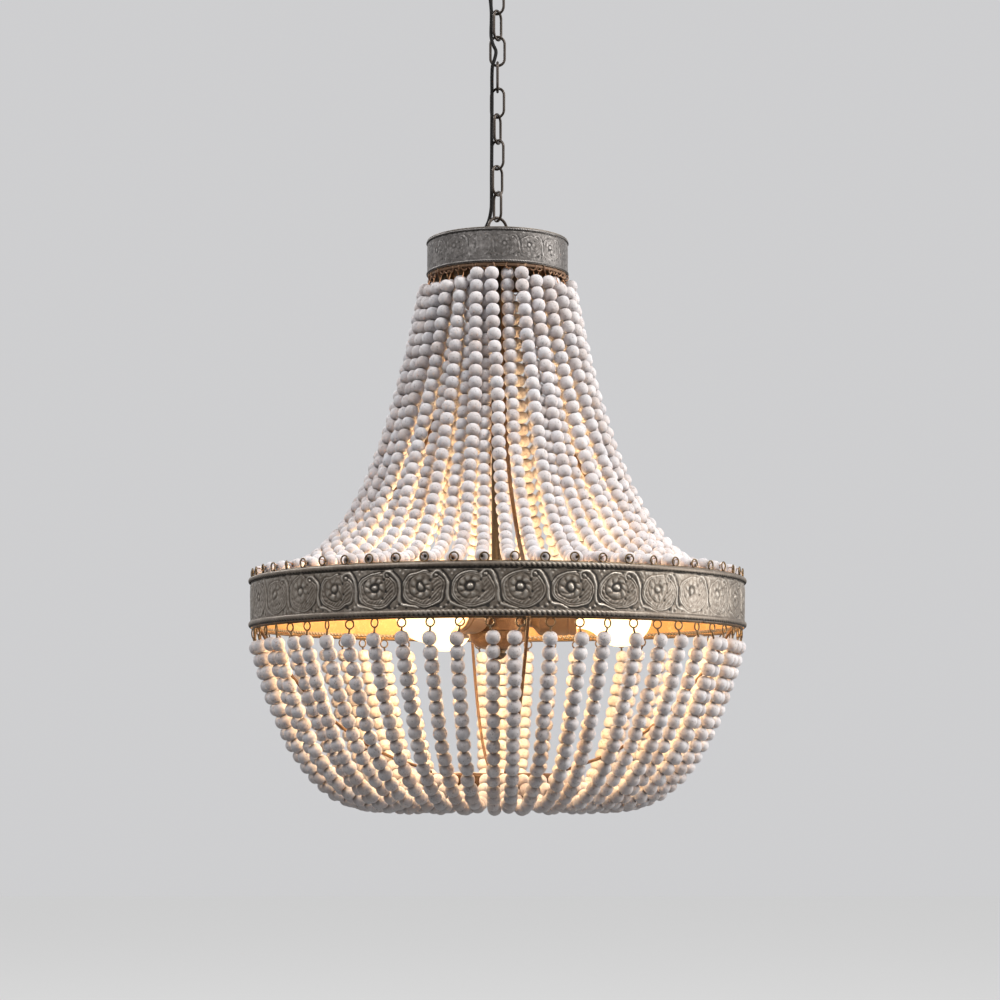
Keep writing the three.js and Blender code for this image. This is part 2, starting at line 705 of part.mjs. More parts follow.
function hubCap() {
  const top = hubBottom - clearance;
  const hole = boreFor(stemRadius);
  const bellyRadius = hubRadius * capBellyShare;
  const belly = top - hubCapHeight * capBellyDropShare;
  const footRadius = hubRadius * capFootShare;
  const foot = top - hubCapHeight * capFootDropShare;
  const cap = turnedRing([
    [hubRadius - hubWall, top], [hubRadius, top], [bellyRadius, belly],
    [footRadius, foot], [hubCapFlatRadius, hubCapBottom], [hole, hubCapBottom],
    [hole, hubCapBottom + hubWall], [hubCapFlatRadius, hubCapBottom + hubWall],
    [footRadius - hubWall, foot + hubWall], [bellyRadius - hubWall, belly + hubWall / 2],
  ], hubSides);
  return cap.rotateZ(fromFront(lampTurn));
}

// The nut under the hub, drilled from above for the end of the stem
function finial() {
  const hole = boreFor(stemRadius);
  const tipTop = finialBottom + finialHeight * finialTipRiseShare;
  return turned([
    [0, finialBottom], [finialRadius * finialTipShare, finialBottom], [finialRadius, tipTop],
    [finialRadius, finialTop], [hole, finialTop],
    [hole, finialBottom + hubWall], [0, finialBottom + hubWall],
  ], smallSides);
}

const lampHeight = hubTop - hubHeight * hubLampShare;
const lampStep = 2 * Math.PI / lampCount;
const lampAngles = Array.from({ length: lampCount }, (_, i) => fromFront(lampTurn) + i * lampStep);

// Lays a shape that was turned about Z along a lamp's axis, which points away from the hub.
function alongAxis(geometry, angle) {
  geometry.rotateY(Math.PI / 2);
  geometry.rotateZ(angle);
  return geometry.translate(0, 0, lampHeight);
}

const socketBack = hubRadius + clearance;
const socketMouth = socketBack + socketLength;
const socketFloor = socketMouth - socketBoreDepth;

function socket(angle) {
  const nippleEnd = socketBack - socketNippleLength;
  const step = socketBack + socketLength * socketStepShare;
  const shoulder = socketBack + socketLength * socketShoulderShare;
  const body = turned([
    [0, nippleEnd], [socketNippleRadius, nippleEnd],
    [socketNippleRadius, socketBack], [socketShoulderRadius, socketBack],
    [socketShoulderRadius, step], [socketRadius, shoulder],
    [socketRadius, socketMouth], [socketBore, socketMouth], [socketBore, socketFloor], [0, socketFloor],
  ], smallSides);
  return alongAxis(body, angle);
}

// A globe bulb: contact, screw cap, neck and globe
function bulb(angle) {
  const contact = socketFloor + clearance;
  const capStart = contact + (socketBoreDepth - clearance) * bulbContactShare;
  const profile = [[0, contact], [bulbContactRadius, contact]];
  profile.push([bulbCapRadius, capStart], [bulbCapRadius, socketMouth]);
  for (let angleOnGlobe = globeNeckAngle; angleOnGlobe > 0; angleOnGlobe -= globeStepAngle) {
    const turn = degrees(angleOnGlobe);
    profile.push([globeRadius * Math.sin(turn), globeReach + globeRadius * Math.cos(turn)]);
  }
  profile.push([0, globeReach + globeRadius]);
  return alongAxis(turned(profile, smallSides), angle);
}

function powerCord() {
  const path = cordCurve.getSpacedPoints(Math.round(cordCurve.getLength() / cordStep));
  const inStem = path.filter((point) => point.z < cordStraightBelow);
  const aboveStem = path.filter((point) => point.z >= cordStraightBelow);
  const kept = [...aboveStem, inStem[0], inStem.at(-1)];
  return sweep(kept, kept.map(() => cordRadius), cordSides, new THREE.Vector3(0, 1, 0));
}

addPiece('ceiling_crossbar', crossbar(), materials.agedIron);
addPiece('ceiling_canopy', canopy(), materials.agedIron);
addPiece('canopy_bushing', bushing(canopyBottom, canopyWall, 1), materials.darkPlastic);
addPiece('hanging_loop', hangingLoop(), materials.darkBronze);
const lockNutBottom = canopyBottom + canopyWall + clearance;
const lockNut = hexNut(lockNutAcross, boreFor(studRadius), lockNutBottom, lockNutHeight);
addPiece('canopy_lock_nut', lockNut, materials.darkBronze);
for (let i = 0; i < linkCount; i++) {
  const link = ovalRing(linkLength, linkWidth, linkWire, degrees(linkTurns[i]), linkMiddle(i));
  addPiece(`chain_link_${i + 1}`, link, materials.darkBronze);
}
addPiece('power_cord', powerCord(), materials.blackCord);

addPiece('crown_loop', crownLoop(), materials.darkBronze);
addPiece('collar_plate', collarPlate(), materials.agedIron);
addPiece('plate_bushing', bushing(plateTop, plateThickness, -1), materials.darkPlastic);
addPiece('collar_band', rolledBand({
  radius: collarRadius, wall: collarWall, top: collarTop, height: collarHeight,
  roll: collarRoll, rollHeight: collarRollHeight, sides: collarSides,
}), materials.agedIron);
const ringInner = collarInner - collarRingWidth;
addPiece('collar_ring', turnedRing([
  [ringInner, collarRingBottom], [collarInner, collarRingBottom],
  [collarInner, collarRingTop], [ringInner, collarRingTop],
], collarSides), materials.rustyWire);
addPiece('stem', stem(), materials.darkBronze);

addPiece('main_band', rolledBand({
  radius: bandRadius, wall: bandWall, top: bandTop, height: bandHeight,
  roll: bandRoll, rollHeight: bandRollHeight, sides: bandSides,
}), materials.agedIron);
for (let i = 0; i < frameCount; i++) {
  const angle = fromFront(frameTurn) + i * 2 * Math.PI / frameCount;
  addPiece(`upper_rod_${i + 1}`, upperRod(angle), materials.rustyWire);
  addPiece(`lower_rib_${i + 1}`, lowerRib(angle), materials.rustyWire);
}
for (let i = 0; i < sectorCount; i++) {
  addPiece(`upper_strings_${i + 1}`, upperSector(i), materials.whitewashedWood);
  addPiece(`lower_strings_${i + 1}`, lowerSector(i), materials.whitewashedWood);
}
addPiece('bottom_ring', turnedRing([
  [bottomInner, bottomRingBottom], [bottomRingRadius, bottomRingBottom],
  [bottomRingRadius, bottomRingTop], [bottomInner, bottomRingTop],
], collarSides), materials.rustyWire);

addPiece('hub_body', hubBody(), materials.rustyWire);
addPiece('hub_cap', hubCap(), materials.rustyWire);
addPiece('hub_finial', finial(), materials.darkBronze);
lampAngles.forEach((angle, i) => {
  addPiece(`lamp_socket_${i + 1}`, socket(angle), materials.socketPlastic);
  addPiece(`bulb_${i + 1}`, bulb(angle), materials.warmGlass);
});

export default chandelier;
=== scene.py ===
import math

import bpy
import numpy as np
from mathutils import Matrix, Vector


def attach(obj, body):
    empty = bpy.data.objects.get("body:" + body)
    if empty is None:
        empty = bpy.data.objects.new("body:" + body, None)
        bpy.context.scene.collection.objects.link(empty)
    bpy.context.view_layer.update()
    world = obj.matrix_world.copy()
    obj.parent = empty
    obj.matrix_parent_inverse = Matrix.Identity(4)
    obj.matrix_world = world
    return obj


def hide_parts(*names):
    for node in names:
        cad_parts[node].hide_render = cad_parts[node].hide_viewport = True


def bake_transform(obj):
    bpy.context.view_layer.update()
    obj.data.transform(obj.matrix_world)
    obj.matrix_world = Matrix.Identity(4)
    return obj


# Beaded chandelier. Metres, +Z up, the origin on the ceiling. Angles in plan called "turn" are in
# degrees, counted from the front (-Y) towards the right (+X).
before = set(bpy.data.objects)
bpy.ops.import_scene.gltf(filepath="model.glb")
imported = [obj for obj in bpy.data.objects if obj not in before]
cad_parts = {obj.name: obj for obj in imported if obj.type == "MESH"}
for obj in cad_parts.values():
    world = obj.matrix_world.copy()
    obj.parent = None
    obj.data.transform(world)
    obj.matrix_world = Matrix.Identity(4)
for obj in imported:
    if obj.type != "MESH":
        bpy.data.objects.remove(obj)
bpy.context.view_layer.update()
rng = np.random.default_rng(56)
print("loaded the frame")

up = np.array([0.0, 0.0, 1.0])


def fromFront(turn):
    return math.radians(turn - 90)


def outwardAt(turn):
    return np.array([math.cos(fromFront(turn)), math.sin(fromFront(turn)), 0.0])


def alongRoundAt(turn):
    return np.array([-math.sin(fromFront(turn)), math.cos(fromFront(turn)), 0.0])


# Node helpers


def addNode(tree, kind, inputs=None, **settings):
    node = tree.nodes.new(kind)
    for name, value in settings.items():
        setattr(node, name, value)
    for socket, value in (inputs or {}).items():
        if isinstance(value, bpy.types.NodeSocket):
            tree.links.new(value, node.inputs[socket])
        else:
            node.inputs[socket].default_value = value
    return node


def mathNode(tree, operation, first, second=0.0):
    return addNode(tree, "ShaderNodeMath", {0: first, 1: second}, operation=operation).outputs[0]


def times(tree, first, second):
    return mathNode(tree, "MULTIPLY", first, second)


def plus(tree, first, second):
    return mathNode(tree, "ADD", first, second)


def minus(tree, first, second):
    return mathNode(tree, "SUBTRACT", first, second)


def rgb(red, green, blue):
    return (red, green, blue, 1.0)


def mixColour(tree, factor, first, second):
    first, second = [rgb(*colour) if isinstance(colour, tuple) else colour for colour in (first, second)]
    return addNode(tree, "ShaderNodeMix", {0: factor, 6: first, 7: second}, data_type="RGBA").outputs[2]


def rampNode(tree, factor, low, high):
    return addNode(tree, "ShaderNodeMapRange", {0: factor, 1: low, 2: high, 3: 0.0, 4: 1.0}).outputs[0]


def objectPlace(tree):
    return addNode(tree, "ShaderNodeTexCoord").outputs["Object"]


def noiseNode(tree, place, scale, detail, roughness=0.55):
    inputs = {"Vector": place, "Scale": scale, "Detail": detail, "Roughness": roughness}
    return addNode(tree, "ShaderNodeTexNoise", inputs).outputs["Fac"]


def attributeNode(tree, name):
    return addNode(tree, "ShaderNodeAttribute", attribute_name=name).outputs["Fac"]


# Node groups: each puts out masks or values that change over the surface


def newGroup(name, inputs, outputs):
    group = bpy.data.node_groups.new(name, "ShaderNodeTree")
    for label, value in inputs.items():
        socket = group.interface.new_socket(name=label, in_out="INPUT", socket_type="NodeSocketFloat")
        socket.default_value = value
    for label in outputs:
        group.interface.new_socket(name=label, in_out="OUTPUT", socket_type="NodeSocketFloat")
    source, result = group.nodes.new("NodeGroupInput"), group.nodes.new("NodeGroupOutput")
    return group, source.outputs, result.inputs


mottleLook = {
    "scales": {"Patch Scale": 90.0, "Pit Scale": 420.0, "Pit Share": 0.35},
    "patchDetail": 4.0, "patchFrom": 0.3, "patchTo": 0.7,
    "pitDetail": 2.0, "pitRoughness": 0.6, "pitEdge": 0.09, "grainHeight": 0.6, "pitDepth": 0.5,
}


def buildMottle():
    # cloudy patches and small pits, in the object's own coordinates
    look = mottleLook
    group, source, result = newGroup("mottle", look["scales"], ("Patches", "Pits", "Height"))
    place = objectPlace(group)
    patches = noiseNode(group, place, source["Patch Scale"], look["patchDetail"])
    fine = noiseNode(group, place, source["Pit Scale"], look["pitDetail"], look["pitRoughness"])
    pits = rampNode(group, fine, source["Pit Share"], minus(group, source["Pit Share"], look["pitEdge"]))
    height = minus(group, times(group, fine, look["grainHeight"]), times(group, pits, look["pitDepth"]))
    group.links.new(rampNode(group, patches, look["patchFrom"], look["patchTo"]), result["Patches"])
    group.links.new(pits, result["Pits"])
    group.links.new(height, result["Height"])
    return group


wearLook = {
    "scales": {"Scale": 60.0, "Amount": 0.4},
    "coarseDetail": 5.0, "coarseRoughness": 0.65, "coarseShare": 0.65,
    "fineTimes": 7.0, "fineDetail": 3.0, "fineRoughness": 0.6, "fineShare": 0.35,
    "edge": 0.68, "edgeDrop": 0.36, "edgeWidth": 0.12,
}


def buildWear():
    # where paint or patina has rubbed thin
    look = wearLook
    group, source, result = newGroup("wear", look["scales"], ("Mask", "Height"))
    place = objectPlace(group)
    coarse = noiseNode(group, place, source["Scale"], look["coarseDetail"], look["coarseRoughness"])
    fineScale = times(group, source["Scale"], look["fineTimes"])
    fine = noiseNode(group, place, fineScale, look["fineDetail"], look["fineRoughness"])
    both = plus(group, times(group, coarse, look["coarseShare"]), times(group, fine, look["fineShare"]))
    edge = minus(group, look["edge"], times(group, source["Amount"], look["edgeDrop"]))
    group.links.new(rampNode(group, both, edge, plus(group, edge, look["edgeWidth"])), result["Mask"])
    group.links.new(both, result["Height"])
    return group


mottleGroup = buildMottle()
wearGroup = buildWear()

# Materials


def newMaterial(name):
    material = bpy.data.materials.new(name)
    material.use_nodes = True
    tree = material.node_tree
    tree.nodes.clear()
    shader = tree.nodes.new("ShaderNodeBsdfPrincipled")
    output = tree.nodes.new("ShaderNodeOutputMaterial")
    tree.links.new(shader.outputs[0], output.inputs[0])
    return material, tree, shader


def addBump(tree, shader, height, strength, distance):
    bump = addNode(tree, "ShaderNodeBump", {"Strength": strength, "Distance": distance, "Height": height})
    tree.links.new(bump.outputs["Normal"], shader.inputs["Normal"])


woodLook = {
    "pale": (0.79, 0.755, 0.76), "warm": (0.55, 0.465, 0.43), "cool": (0.56, 0.575, 0.62), "pitAndEndShade": (0.20, 0.155, 0.135),
    "scales": {"Patch Scale": 150.0, "Pit Scale": 520.0, "Pit Share": 0.40}, "cloudScale": 60.0,
    "patchMix": 0.55, "tintMix": 0.5, "coolPick": 17.0, "coolMix": 0.6, "coolLeast": 0.15,
    "pitMix": 0.55, "endPower": 5.0, "endShade": 0.62,
    "roughness": 0.72, "pitRoughness": 0.15, "bump": 0.5, "bumpDepth": 0.0006,
}


def woodMaterial():
    look = woodLook
    material, tree, shader = newMaterial("whitewashedWood")
    mottle = addNode(tree, "ShaderNodeGroup", look["scales"], node_tree=mottleGroup).outputs
    clouds = addNode(tree, "ShaderNodeGroup", {"Patch Scale": look["cloudScale"]}, node_tree=mottleGroup).outputs
    tint, ends = attributeNode(tree, "beadTint"), attributeNode(tree, "beadEnd")
    warmth = plus(tree, times(tree, mottle["Patches"], look["patchMix"]), times(tree, tint, look["tintMix"]))
    colour = mixColour(tree, warmth, look["pale"], look["warm"])
    # some beads are cooler in tone than their neighbours
    pick = mathNode(tree, "FRACT", times(tree, tint, look["coolPick"]))
    coolShare = plus(tree, times(tree, pick, look["coolMix"]), look["coolLeast"])
    colour = mixColour(tree, times(tree, clouds["Patches"], coolShare), colour, look["cool"])
    colour = mixColour(tree, times(tree, mottle["Pits"], look["pitMix"]), colour, look["pitAndEndShade"])
    # painted shade where beads meet: each bead darkens towards its ends
    endMask = times(tree, mathNode(tree, "POWER", ends, look["endPower"]), look["endShade"])
    tree.links.new(mixColour(tree, endMask, colour, look["pitAndEndShade"]), shader.inputs["Base Color"])
    rough = plus(tree, times(tree, mottle["Pits"], look["pitRoughness"]), look["roughness"])
    tree.links.new(rough, shader.inputs["Roughness"])
    addBump(tree, shader, mottle["Height"], look["bump"], look["bumpDepth"])
    return material


metalLooks = {
    # in agedIron and collarIron the hollow colour is near black and the ridge colour pale: partly patina and wear,
    # partly painted shade and painted highlight
    "agedIron": {
        "base": (0.162, 0.131, 0.103), "worn": (0.29, 0.25, 0.21),
        "hollow": (0.014, 0.011, 0.009), "ridge": (0.52, 0.48, 0.425),
        "wearScale": 45.0, "wearAmount": 0.5, "wearMix": 0.75, "metallic": 0.7, "roughness": 0.45, "bump": 0.6,
    },
    "collarIron": {
        "base": (0.130, 0.118, 0.110), "worn": (0.24, 0.222, 0.21),
        "hollow": (0.020, 0.017, 0.015), "ridge": (0.50, 0.47, 0.45),
        "wearScale": 45.0, "wearAmount": 0.5, "wearMix": 0.75, "metallic": 0.7, "roughness": 0.45, "bump": 0.6,
    },
    "plainIron": {
        "base": (0.17, 0.142, 0.114), "worn": (0.29, 0.252, 0.212),
        "wearScale": 40.0, "wearAmount": 0.5, "wearMix": 0.7, "metallic": 0.7, "roughness": 0.46, "bump": 0.5,
    },
    # the band's inside: a rust colour made light and orange, partly rust and partly painted warm light from the bulbs
    "innerRustAndPaintedGlow": {
        "base": (0.46, 0.25, 0.10), "worn": (0.60, 0.38, 0.18),
        "wearScale": 55.0, "wearAmount": 0.5, "wearMix": 0.8, "metallic": 0.25, "roughness": 0.55, "bump": 0.6,
    },
    "darkBronze": {
        "base": (0.060, 0.048, 0.040), "worn": (0.16, 0.13, 0.105),
        "wearScale": 130.0, "wearAmount": 0.35, "wearMix": 0.8, "metallic": 0.75, "roughness": 0.42, "bump": 0.35,
    },
    "rustyWire": {
        "base": (0.15, 0.085, 0.048), "worn": (0.27, 0.16, 0.085),
        "wearScale": 110.0, "wearAmount": 0.5, "wearMix": 0.8, "metallic": 0.5, "roughness": 0.55, "bump": 0.5,
    },
    "copperWire": {
        "base": (0.40, 0.20, 0.10), "worn": (0.55, 0.32, 0.18),
        "wearScale": 200.0, "wearAmount": 0.4, "wearMix": 0.7, "metallic": 0.8, "roughness": 0.38, "bump": 0.2,
    },
    "eyeletWire": {
        "base": (0.13, 0.085, 0.045), "worn": (0.33, 0.235, 0.13),
        "wearScale": 220.0, "wearAmount": 0.45, "wearMix": 0.75, "metallic": 0.7, "roughness": 0.4, "bump": 0.25,
    },
    "rustyCopper": {
        "base": (0.20, 0.105, 0.058), "worn": (0.44, 0.28, 0.17),
        "wearScale": 170.0, "wearAmount": 0.5, "wearMix": 0.8, "metallic": 0.45, "roughness": 0.5, "bump": 0.4,
    },
    "socketBrown": {
        "base": (0.16, 0.095, 0.055), "worn": (0.22, 0.14, 0.085),
        "wearScale": 90.0, "wearAmount": 0.3, "wearMix": 0.6, "metallic": 0.0, "roughness": 0.45, "bump": 0.2,
    },
    "darkPlastic": {
        "base": (0.03, 0.026, 0.024), "worn": (0.07, 0.062, 0.056),
        "wearScale": 150.0, "wearAmount": 0.3, "wearMix": 0.6, "metallic": 0.0, "roughness": 0.5, "bump": 0.2,
    },
    "capMetal": {
        "base": (0.62, 0.60, 0.56), "worn": (0.42, 0.39, 0.35),
        "wearScale": 180.0, "wearAmount": 0.3, "wearMix": 0.6, "metallic": 0.95, "roughness": 0.32, "bump": 0.15,
    },
}
# how far the "relief" values turn hollows dark and ridges light: partly patina and wear, partly painted shade and
# painted highlight
reliefTones = {
    "hollow": (0.46, 0.16), "hollowMix": 0.94, "hollowRoughness": 0.35, "ridge": (0.58, 0.92), "ridgeMix": 0.6,
}
wearRoughness, metalBumpDepth = 0.3, 0.0004


def metalMaterial(name, look):
    # painted or patinated metal, or plastic. With a hollow and a ridge colour it follows the "relief" values: darker
    # in hollows and lighter on ridges, partly patina and wear, partly painted shade and painted highlight
    material, tree, shader = newMaterial(name)
    scales = {"Scale": look["wearScale"], "Amount": look["wearAmount"]}
    wear = addNode(tree, "ShaderNodeGroup", scales, node_tree=wearGroup).outputs
    base = mixColour(tree, times(tree, wear["Mask"], look["wearMix"]), look["base"], look["worn"])
    rough = plus(tree, times(tree, wear["Height"], wearRoughness), look["roughness"] - wearRoughness / 2)
    shader.inputs["Metallic"].default_value = look["metallic"]
    if "hollow" in look:
        tones = reliefTones
        relief = attributeNode(tree, "relief")
        hollow = times(tree, rampNode(tree, relief, *tones["hollow"]), tones["hollowMix"])
        ridge = times(tree, rampNode(tree, relief, *tones["ridge"]), tones["ridgeMix"])
        base = mixColour(tree, ridge, mixColour(tree, hollow, base, look["hollow"]), look["ridge"])
        rough = plus(tree, rough, times(tree, hollow, tones["hollowRoughness"]))
        tree.links.new(times(tree, minus(tree, 1.0, hollow), look["metallic"]), shader.inputs["Metallic"])
    tree.links.new(base, shader.inputs["Base Color"])
    tree.links.new(rough, shader.inputs["Roughness"])
    addBump(tree, shader, wear["Height"], look["bump"], metalBumpDepth)
    return material


cordFinish = {
    "dark": (0.005, 0.0045, 0.0045), "pale": (0.016, 0.014, 0.013), "weaveScale": 190.0,
    "distortion": 1.5, "detail": 1.0, "roughness": 0.8, "shine": 0.25, "bump": 0.35, "bumpDepth": 0.0003,
}


def cordMaterial():
    look = cordFinish
    material, tree, shader = newMaterial("blackCord")
    inputs = {
        "Vector": objectPlace(tree), "Scale": look["weaveScale"],
        "Distortion": look["distortion"], "Detail": look["detail"],
    }
    weave = addNode(tree, "ShaderNodeTexWave", inputs, bands_direction="DIAGONAL").outputs["Fac"]
    tree.links.new(mixColour(tree, weave, look["dark"], look["pale"]), shader.inputs["Base Color"])
    shader.inputs["Roughness"].default_value = look["roughness"]
    shader.inputs["Specular IOR Level"].default_value = look["shine"]
    addBump(tree, shader, weave, look["bump"], look["bumpDepth"])
    return material


glassLook = {
    "glass": (1.0, 0.93, 0.80), "glow": (1.0, 0.58, 0.22), "core": (1.0, 0.70, 0.36), "glowMix": 0.35,
    "cloudScale": 22.0, "cloudDetail": 2.0, "cloudFrom": 0.3, "cloudTo": 0.7, "roughness": 0.25,
    "strength": 36.0, "shown": 2.1,
}


def glassMaterial():
    look = glassLook
    material, tree, shader = newMaterial("litGlass")
    cloud = noiseNode(tree, objectPlace(tree), look["cloudScale"], look["cloudDetail"])
    glow = mixColour(tree, rampNode(tree, cloud, look["cloudFrom"], look["cloudTo"]), look["core"], look["glow"])
    shader.inputs["Base Color"].default_value = rgb(*look["glass"])
    shader.inputs["Roughness"].default_value = look["roughness"]
    tree.links.new(mixColour(tree, look["glowMix"], look["core"], glow), shader.inputs["Emission Color"])
    # the camera sees the glass less bright than the light it gives
    cameraRay = addNode(tree, "ShaderNodeLightPath").outputs["Is Camera Ray"]
    strength = minus(tree, look["strength"], times(tree, cameraRay, look["strength"] - look["shown"]))
    tree.links.new(strength, shader.inputs["Emission Strength"])
    return material


materials = {name: metalMaterial(name, look) for name, look in metalLooks.items()}
materials["wood"] = woodMaterial()
materials["cord"] = cordMaterial()
materials["litGlass"] = glassMaterial()
print("made the materials")

# Mesh helpers. A part of a mesh is a pair: its points, and a list of face arrays

cornerShare = 0.45  # of a side's length, the most that a rounded corner takes
gap = 0.0003  # left between pieces that meet


def joinParts(parts):
    points, faces, start = [], {}, 0
    for partPoints, partFaces in parts:
        points.append(partPoints)
        for block in partFaces:
            faces.setdefault(block.shape[1], []).append(block + start)
        start += len(partPoints)
    return np.concatenate(points), [np.concatenate(blocks) for blocks in faces.values()]


def makeMesh(name, part, finish, values=None, sharpAngle=None):
    points, faces = part
    mesh = bpy.data.meshes.new(name)
    loops = np.concatenate([block.ravel() for block in faces])
    sizes = np.concatenate([np.full(len(block), block.shape[1]) for block in faces])
    starts = np.concatenate([[0], np.cumsum(sizes)[:-1]])
    mesh.vertices.add(len(points))
    mesh.vertices.foreach_set("co", points.astype(np.float32).ravel())
    mesh.loops.add(len(loops))
    mesh.loops.foreach_set("vertex_index", loops.astype(np.int32))
    mesh.polygons.add(len(sizes))
    mesh.polygons.foreach_set("loop_start", starts.astype(np.int32))
    mesh.update(calc_edges=True)
    mesh.polygons.foreach_set("use_smooth", np.ones(len(sizes), bool))
    if sharpAngle:
        mesh.set_sharp_from_angle(angle=math.radians(sharpAngle))
    for label, numbers in (values or {}).items():
        mesh.attributes.new(label, "FLOAT", "POINT").data.foreach_set("value", numbers.astype(np.float32))
    mesh.materials.append(materials[finish])
    piece = bpy.data.objects.new(name, mesh)
    bpy.context.scene.collection.objects.link(piece)
    return piece


def addPiece(name, part, finish, node, body="chandelier", values=None, sharpAngle=None):
    piece = makeMesh(name, part, finish, values, sharpAngle)
    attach(piece, body)
    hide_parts(node)


def paintNode(node, finish):
    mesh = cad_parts[node].data
    mesh.materials.clear()
    mesh.materials.append(materials[finish])


def gridFaces(rows, columns, closeRows=False):
    # the columns always close
    row, column = np.meshgrid(np.arange(rows if closeRows else rows - 1), np.arange(columns), indexing="ij")
    nextRow, nextColumn = (row + 1) % rows, (column + 1) % columns
    corners = ((row, column), (row, nextColumn), (nextRow, nextColumn), (nextRow, column))
    return np.stack([(r * columns + c).ravel() for r, c in corners], axis=1)


def endCap(rows, sides, atEnd):
    if atEnd:
        return np.arange((rows - 1) * sides, rows * sides)[None, :]
    return np.arange(sides)[None, ::-1]


def aroundSteps(count):
    return np.linspace(0, 2 * np.pi, count, endpoint=False)


def lengthOf(vectors):
    return np.linalg.norm(vectors, axis=1)[:, None]


def curveBetween(start, control, end, share):
    # a curve from start to end that is drawn towards the control point
    return (1 - share) ** 2 * start + 2 * share * (1 - share) * control + share ** 2 * end


def tubePart(path, radius, sides, side=None, closed=False, capped=True):
    # a round tube along the path; side is a direction square to a flat path
    path = np.asarray(path, float)
    along = np.roll(path, -1, 0) - np.roll(path, 1, 0) if closed else np.gradient(path, axis=0)
    along /= lengthOf(along)
    if side is None:
        across = np.zeros_like(path)
        across[0] = np.cross(along[0], [0.3, 0.9, 0.1])  # any direction that no path here follows
        for i in range(len(path)):
            before = across[i - 1] if i else across[0]
            across[i] = before - along[i] * np.dot(before, along[i])
            across[i] /= np.linalg.norm(across[i])
    else:
        across = side - along * (along @ side)[:, None]
        across /= lengthOf(across)
    normal = np.cross(along, across)
    turn = aroundSteps(sides)
    ring = across[:, None] * np.cos(turn)[None, :, None] + normal[:, None] * np.sin(turn)[None, :, None]
    points = (path[:, None] + radius * ring).reshape(-1, 3)
    faces = [gridFaces(len(path), sides, closeRows=closed)]
    if capped and not closed:
        faces += [endCap(len(path), sides, atEnd) for atEnd in (False, True)]
    return points, faces


def turnedPart(profile, sides, close=True, middle=(0.0, 0.0, 0.0), axis=up):
    # profile is a list of (radius, height); close joins its last point to the first
    profile = np.asarray(profile, float)
    first = np.cross(up, axis) if axis is not up else np.array([1.0, 0.0, 0.0])
    second = np.cross(axis, first)
    turn = aroundSteps(sides)
    radius, height = profile[:, 0][:, None], profile[:, 1][:, None, None]
    circle = first * (radius * np.cos(turn))[..., None] + second * (radius * np.sin(turn))[..., None]
    points = (circle + axis * height).reshape(-1, 3) + np.asarray(middle)
    return points, [gridFaces(len(profile), sides, closeRows=close)]


def softCorners(profile, radius, steps=3, closed=True):
    # rounds each corner of a profile
    profile = np.asarray(profile, float)
    out = []
    for i, corner in enumerate(profile):
        if not closed and i in (0, len(profile) - 1):
            out.append(corner)
            continue
        before, after = profile[i - 1], profile[(i + 1) % len(profile)]
        backLength, aheadLength = np.linalg.norm(before - corner), np.linalg.norm(after - corner)
        reach = min(radius, backLength * cornerShare, aheadLength * cornerShare)
        start = corner + (before - corner) / backLength * reach
        end = corner + (after - corner) / aheadLength * reach
        out += [curveBetween(start, corner, end, share) for share in np.linspace(0, 1, steps + 1)]
    return np.array(out)


def hollowRing(inner, outer, bottom, top, corner, sides, steps=3):
    section = [[inner, bottom], [outer, bottom], [outer, top], [inner, top]]
    return turnedPart(softCorners(section, corner, steps), sides)


def threadProfile(radius, depth, heights):
    return [[radius - (depth if i % 2 else 0.0), z] for i, z in enumerate(heights)]


# Camera and light come first, then the pieces from the ceiling down

view = {
    "distance": 2.32, "height": -0.8366, "offsetX": 0.0025, "lens": 82.8, "sensor": 36.0, "shiftUp": 0.245,
    "clipNear": 0.05, "clipFar": 60.0,
}


def addObject(name, data):
    item = bpy.data.objects.new(name, data)
    bpy.context.scene.collection.objects.link(item)
    return item


def addCamera():
    camera = addObject("camera", bpy.data.cameras.new("camera"))
    camera.data.sensor_width = view["sensor"]
    camera.data.lens = view["lens"]
    camera.data.shift_y = view["shiftUp"]
    camera.data.clip_start, camera.data.clip_end = view["clipNear"], view["clipFar"]
    camera.location = (view["offsetX"], -view["distance"], view["height"])
    camera.rotation_euler = (math.radians(90), 0, 0)
    bpy.context.scene.camera = camera


stageLook = {
    "floorHeight": -1.45, "floorSize": 14.0, "floorColour": (0.19, 0.19, 0.19), "floorShade": 0.97, "floorShown": 0.52,
    "floorRoughness": 0.9, "cloudScale": 1.5, "cloudDetail": 2.0, "backdrop": (0.62, 0.62, 0.63), "skyLight": 0.19,
}


def addFloor():
    look = stageLook
    half, z = look["floorSize"] / 2, look["floorHeight"]
    floorMesh = bpy.data.meshes.new("floor")
    floorMesh.from_pydata([(-half, -half, z), (half, -half, z), (half, half, z), (-half, half, z)], [], [(0, 1, 2, 3)])
    floor = addObject("floor", floorMesh)
    material, tree, shader = newMaterial("paleFloor")
    cloud = noiseNode(tree, objectPlace(tree), look["cloudScale"], look["cloudDetail"])
    tone = look["floorColour"]
    shaded = tuple(value * look["floorShade"] for value in tone)
    tree.links.new(mixColour(tree, cloud, tone, shaded), shader.inputs["Base Color"])
    shader.inputs["Roughness"].default_value = look["floorRoughness"]
    shader.inputs["Emission Color"].default_value = rgb(1.0, 1.0, 1.0)
    cameraRay = addNode(tree, "ShaderNodeLightPath").outputs["Is Camera Ray"]
    tree.links.new(times(tree, cameraRay, look["floorShown"]), shader.inputs["Emission Strength"])
    floorMesh.materials.append(material)


